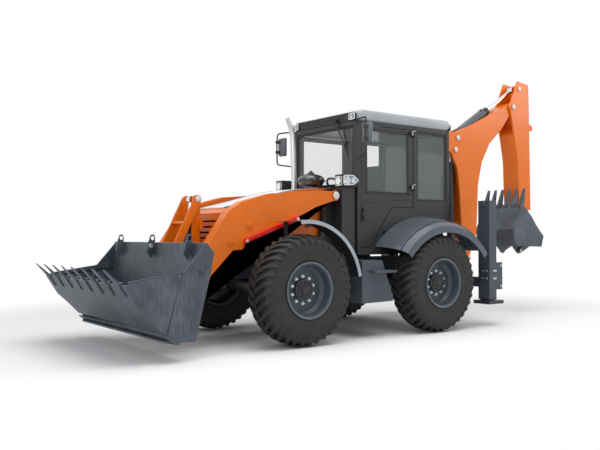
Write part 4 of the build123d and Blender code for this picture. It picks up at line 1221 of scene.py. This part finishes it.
class BACKHOE_OT_controls(Operator):
    """Adds four levers with their knobs, boxes beside and behind the seat, and a dash pod."""

    bl_idname = "backhoe.controls"
    bl_label = "Controls"

    levers = (
        # name, foot, knee, knob
        ("gear", (0.36, 0.14, 1.88), (0.3, 0.24, 1.93), (0.28, 0.27, 1.99)),
        ("loader", (0.1, -0.36, 1.5), (0.13, -0.37, 1.65), (0.16, -0.36, 1.78)),
        ("hoe_left", (-0.55, 0.2, 1.5), (-0.56, 0.2, 1.7), (-0.6, 0.2, 1.85)),
        ("hoe_right", (-0.55, -0.2, 1.5), (-0.56, -0.2, 1.7), (-0.6, -0.2, 1.85)),
    )
    lever_radius = 0.008
    # Height about the knob's middle, radius
    grip = ((-0.03, 0), (-0.03, 0.012), (0.0, 0.02), (0.03, 0.022), (0.045, 0.014), (0.048, 0))

    def execute(self, context):
        knobs = bmesh.new()
        for name, foot, knee, knob in self.levers:
            pipe("lever_" + name, [foot, knee, knob], self.lever_radius, "chrome", "chassis")
            lathe(knobs, self.grip, knob, (0, 0, 1), 20)
        box(knobs, (0.02, -0.43, 1.106), (0.2, -0.3, 1.52))
        box(knobs, (-0.66, -0.3, 1.106), (-0.5, 0.3, 1.52))
        known = set(knobs.verts)
        box(knobs, (0.335, -0.13, 1.882), (0.485, 0.13, 1.96))
        top = [v for v in fresh_since(knobs, known) if v.co.z > 1.9 and v.co.x < 0.4]
        bmesh.ops.translate(knobs, verts=top, vec=(0.05, 0, 0))
        bevel(knobs, 0.008, 2, radians(45))
        piece("control_pods", knobs, "plastic", "chassis")
        return {"FINISHED"}


class BACKHOE_OT_seat(Operator):
    """Replaces the plain seat by crowned, seamed cushions on a boxed base."""

    bl_idname = "backhoe.seat"
    bl_label = "Seat"

    def execute(self, context):
        upright = Matrix.Translation((-0.325, 0, 2.0)) @ Matrix.Rotation(radians(-82.5), 4, "Y")
        pads = (
            # name, half length, half width, half height, place
            ("seat_cushion", 0.232, 0.252, 0.05, Matrix.Translation((-0.09, 0, 1.595))),
            ("seat_back", 0.33, 0.232, 0.042, upright),
        )
        for name, long, wide, high, place in pads:
            made = self.pad(name, long, wide, high, place)
            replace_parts(made, "seat")
        bm = bmesh.new()
        box(bm, (-0.215, -0.145, 1.108), (0.055, 0.145, 1.30))
        known = set(bm.verts)
        box(bm, (-0.2, -0.13, 1.302), (0.04, 0.13, 1.536))
        top = [v for v in fresh_since(bm, known) if v.co.z > 1.5]
        bmesh.ops.scale(bm, verts=top, vec=(1.0, 1.12, 1.0))
        bevel(bm, 0.012, 3)
        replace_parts(piece("seat_base", bm, "plastic", "chassis"), "seat")
        return {"FINISHED"}

    def pad(self, name, long, wide, high, place):
        """A foam pad: a fine block whose top crowns, whose sides pull in, and whose seams sink."""
        bm = bmesh.new()
        bmesh.ops.create_cube(bm, size=2)
        bmesh.ops.subdivide_edges(bm, edges=bm.edges, cuts=11, use_grid_fill=True)
        for vert in bm.verts:
            u, v, w = vert.co
            pull = 1 - 0.05 * (1 - w * w)
            crown = 0.74 + 0.26 * (1 - u**4) * (1 - v**4)
            seam = 0.16 if (abs(abs(v) - 0.66) < 0.09 or abs(u - 0.3) < 0.09) and abs(w) > 0.9 else 0
            vert.co = (u * long * pull, v * wide * pull, w * high * (crown - seam))
        bmesh.ops.transform(bm, matrix=place, verts=bm.verts)
        made = piece(name, bm, "cloth", "chassis")
        for edge in made.data.edges:
            edge.use_edge_sharp = False
        smooth = made.modifiers.new("smooth", "SUBSURF")
        smooth.levels = 1
        smooth.render_levels = 1
        return made


class BACKHOE_OT_fenders(Operator):
    """Adds the pale strip on the front guards and the dark bead on the rear guards."""

    bl_idname = "backhoe.fenders"
    bl_label = "Mudguard Trim"

    # Centres of the arcs as x and z, and where each starts and ends in degrees
    front_centre = (1.715, 0.67)
    front_arc = (82, 170)
    rear_centre = (-0.641, 0.43)
    rear_arc = (40.5, 141.5)
    strip = (
        # radii, distances from the middle of the machine
        ((0.8252, 0.8292), 1.13, 1.199),
        ((0.784, 0.8292), 1.2003, 1.206),
    )

    def execute(self, context):
        for name, side in SIDES:
            bm = bmesh.new()
            for radii, near, far in self.strip:
                arc_bar(bm, self.front_centre, self.front_arc, radii, across(side, near, far), 48)
            piece("guard_strip_" + name, bm, "pale", "knuckle_front_" + name)
            bm = bmesh.new()
            bead = across(side, 1.157, 1.168)
            arc_bar(bm, self.rear_centre, self.rear_arc, (1.07, 1.082), bead, 64)
            piece("guard_bead_" + name, bm, "seal", "chassis")
        return {"FINISHED"}


class BACKHOE_OT_stabilizers(Operator):
    """Bolts the stabilizer housings, and adds a disc and a low plate to each."""

    bl_idname = "backhoe.stabilizers"
    bl_label = "Stabilizer Bolts"

    frame_x = -1.6027
    disc = (
        # distance forwards, radius
        (0, 0),
        (0, 0.036),
        (0.006, 0.036),
        (0.009, 0.03),
        (0.009, 0.012),
        (0.016, 0.012),
        (0.016, 0),
    )

    def execute(self, context):
        bm = bmesh.new()
        for _, side in SIDES:
            for z in (0.69, 0.80):
                for y in (1.03, 1.10):
                    hexagon_head(bm, (self.frame_x, side * y, z), (1, 0, 0), 0.0115, 0.012)
                for x in (-1.74, -1.70):
                    hexagon_head(bm, (x, side * 1.1503, z), (0, side, 0), 0.0115, 0.012)
            for z in (0.57, 0.87):
                hexagon_head(bm, (-1.925, side * 1.1003, z), (0, side, 0), 0.0125, 0.012)
        piece("stabilizer_bolts", bm, "zinc", "chassis")
        bm = bmesh.new()
        for _, side in SIDES:
            lathe(bm, self.disc, (self.frame_x, side * 1.05, 1.765), (1, 0, 0), 32)
            low, high = across(side, 0.955, 1.139)
            box(bm, (-1.603, low, 0.39), (-1.594, high, 0.43))
        bevel(bm, 0.002, 1)
        piece("stabilizer_plates", bm, "slate", "chassis")
        return {"FINISHED"}


FLOOR_FADE = (4.6, 7.5)
STUDIO_LAMPS = (
    # name, place, aim, size, power
    ("sky_panel", (1.0, 2.0, 9.0), (0, 0, 1.0), 9.0, 620),
    ("front_panel", (10.0, 5.0, 5.0), (0, 0, 1.2), 4.0, 170),
    ("back_panel", (-8.0, 4.0, 6.0), (0, 0, 1.5), 4.0, 150),
)


def seen_directly(tree):
    """One where a camera, mirror or glass ray looks, and nought for the light on the machine."""
    path = add(tree, "ShaderNodeLightPath")
    rays = (path.outputs["Is Camera Ray"], path.outputs["Is Transmission Ray"])
    first = add(tree, "ShaderNodeMath", {"operation": "MAXIMUM"}, rays)
    rays = (first.outputs["Value"], path.outputs["Is Glossy Ray"])
    second = add(tree, "ShaderNodeMath", {"operation": "MAXIMUM"}, rays)
    return second.outputs["Value"]


class BACKHOE_OT_stage(Operator):
    """Sets the pale floor, soft lights and the camera at the photographed angle."""

    bl_idname = "backhoe.stage"
    bl_label = "Stage"

    camera_place = (6.84743, 7.99074, 1.30999)
    camera_pitch = 0.01498
    camera_heading = -2.20577

    def execute(self, context):
        self.floor()
        self.lights()
        self.camera(context.scene.backhoe_sizes.camera_lens)
        context.scene.view_settings.view_transform = "Standard"
        return {"FINISHED"}

    def floor(self):
        """White paper that keeps the shadows near the machine and fades to plain white further out."""
        bpy.ops.mesh.primitive_plane_add(size=400)
        floor = bpy.context.object
        floor.name = "studio_floor"
        paper = (*linear("#F7F7F7"), 1)
        material, tree, shader = new_material("studio_paper", Base_Color=paper, Roughness=0.9)
        where = add(tree, "ShaderNodeTexCoord")
        reach = add(tree, "ShaderNodeVectorMath", {"operation": "LENGTH"}, (where.outputs["Object"],))
        fade = add(
            tree,
            "ShaderNodeMapRange",
            {"From Min": FLOOR_FADE[0], "From Max": FLOOR_FADE[1], "interpolation_type": "SMOOTHSTEP"},
            Value=reach.outputs["Value"],
        )
        shares = (fade.outputs["Result"], seen_directly(tree))
        amount = add(tree, "ShaderNodeMath", {"operation": "MULTIPLY"}, shares)
        white = add(tree, "ShaderNodeEmission", {"Color": (1, 1, 1, 1), "Strength": 1.0})
        layers = (amount.outputs["Value"], shader.outputs["BSDF"], white.outputs["Emission"])
        both = add(tree, "ShaderNodeMixShader", {}, layers)
        tree.links.new(both.outputs["Shader"], tree.nodes["Material Output"].inputs["Surface"])
        floor.data.materials.append(material)

    def lights(self):
        """A dim even world that reads as white where it is seen, and three soft panels."""
        world = bpy.data.worlds.new("studio")
        world.use_nodes = True
        bpy.context.scene.world = world
        tree = world.node_tree
        tree.nodes.clear()
        soft = add(tree, "ShaderNodeBackground", {"Color": (*linear("#F4F7FA"), 1), "Strength": 0.5})
        white = add(tree, "ShaderNodeBackground", {"Color": (1, 1, 1, 1), "Strength": 1.0})
        layers = (seen_directly(tree), soft.outputs["Background"], white.outputs["Background"])
        both = add(tree, "ShaderNodeMixShader", {}, layers)
        add(tree, "ShaderNodeOutputWorld", {}, Surface=both.outputs["Shader"])
        for name, place, aim, size, power in STUDIO_LAMPS:
            self.area(name, place, aim, size, power)

    def area(self, name, place, aim, size, power):
        """A square panel of light that faces a point."""
        data = bpy.data.lights.new(name, "AREA")
        data.size = size
        data.energy = power
        lamp = bpy.data.objects.new(name, data)
        bpy.context.scene.collection.objects.link(lamp)
        lamp.location = place
        lamp.rotation_euler = (Vector(aim) - Vector(place)).to_track_quat("-Z", "Y").to_euler()

    def camera(self, lens):
        """The photographed view: from the front left, about as high as the wheels."""
        data = bpy.data.cameras.new("photo_camera")
        camera = bpy.data.objects.new("photo_camera", data)
        bpy.context.scene.collection.objects.link(camera)
        data.lens = lens / MM
        data.sensor_width = 36
        data.clip_start = 0.1
        data.clip_end = 500
        camera.location = self.camera_place
        camera.rotation_euler = (pi / 2 + self.camera_pitch, 0, self.camera_heading - pi / 2)
        bpy.context.scene.camera = camera


class BACKHOE_PT_panel(Panel):
    """Lists the pieces in the order that they are made."""

    bl_label = "Backhoe Loader"
    bl_idname = "BACKHOE_PT_panel"
    bl_space_type = "VIEW_3D"
    bl_region_type = "UI"
    bl_category = "Backhoe"

    def draw(self, context):
        column = self.layout.column()
        for operator in operators:
            column.operator(operator.bl_idname)


operators = (
    BACKHOE_OT_frame_finish,
    BACKHOE_OT_tyres,
    BACKHOE_OT_wheel_parts,
    BACKHOE_OT_pins,
    BACKHOE_OT_cylinders,
    BACKHOE_OT_buckets,
    BACKHOE_OT_hood_trim,
    BACKHOE_OT_cab_trim,
    BACKHOE_OT_doors,
    BACKHOE_OT_lamps,
    BACKHOE_OT_mirrors,
    BACKHOE_OT_controls,
    BACKHOE_OT_seat,
    BACKHOE_OT_fenders,
    BACKHOE_OT_stabilizers,
    BACKHOE_OT_stage,
)
classes = (BackhoeFinish, BackhoeSizes, *operators, BACKHOE_PT_panel)


def register():
    for cls in classes:
        bpy.utils.register_class(cls)
    bpy.types.Scene.backhoe_finish = PointerProperty(type=BackhoeFinish)
    bpy.types.Scene.backhoe_sizes = PointerProperty(type=BackhoeSizes)


def unregister():
    del bpy.types.Scene.backhoe_sizes
    del bpy.types.Scene.backhoe_finish
    for cls in reversed(classes):
        bpy.utils.unregister_class(cls)


def main():
    register()
    for operator in operators:
        group, name = operator.bl_idname.split(".")
        getattr(getattr(bpy.ops, group), name)()


if __name__ == "__main__":
    main()
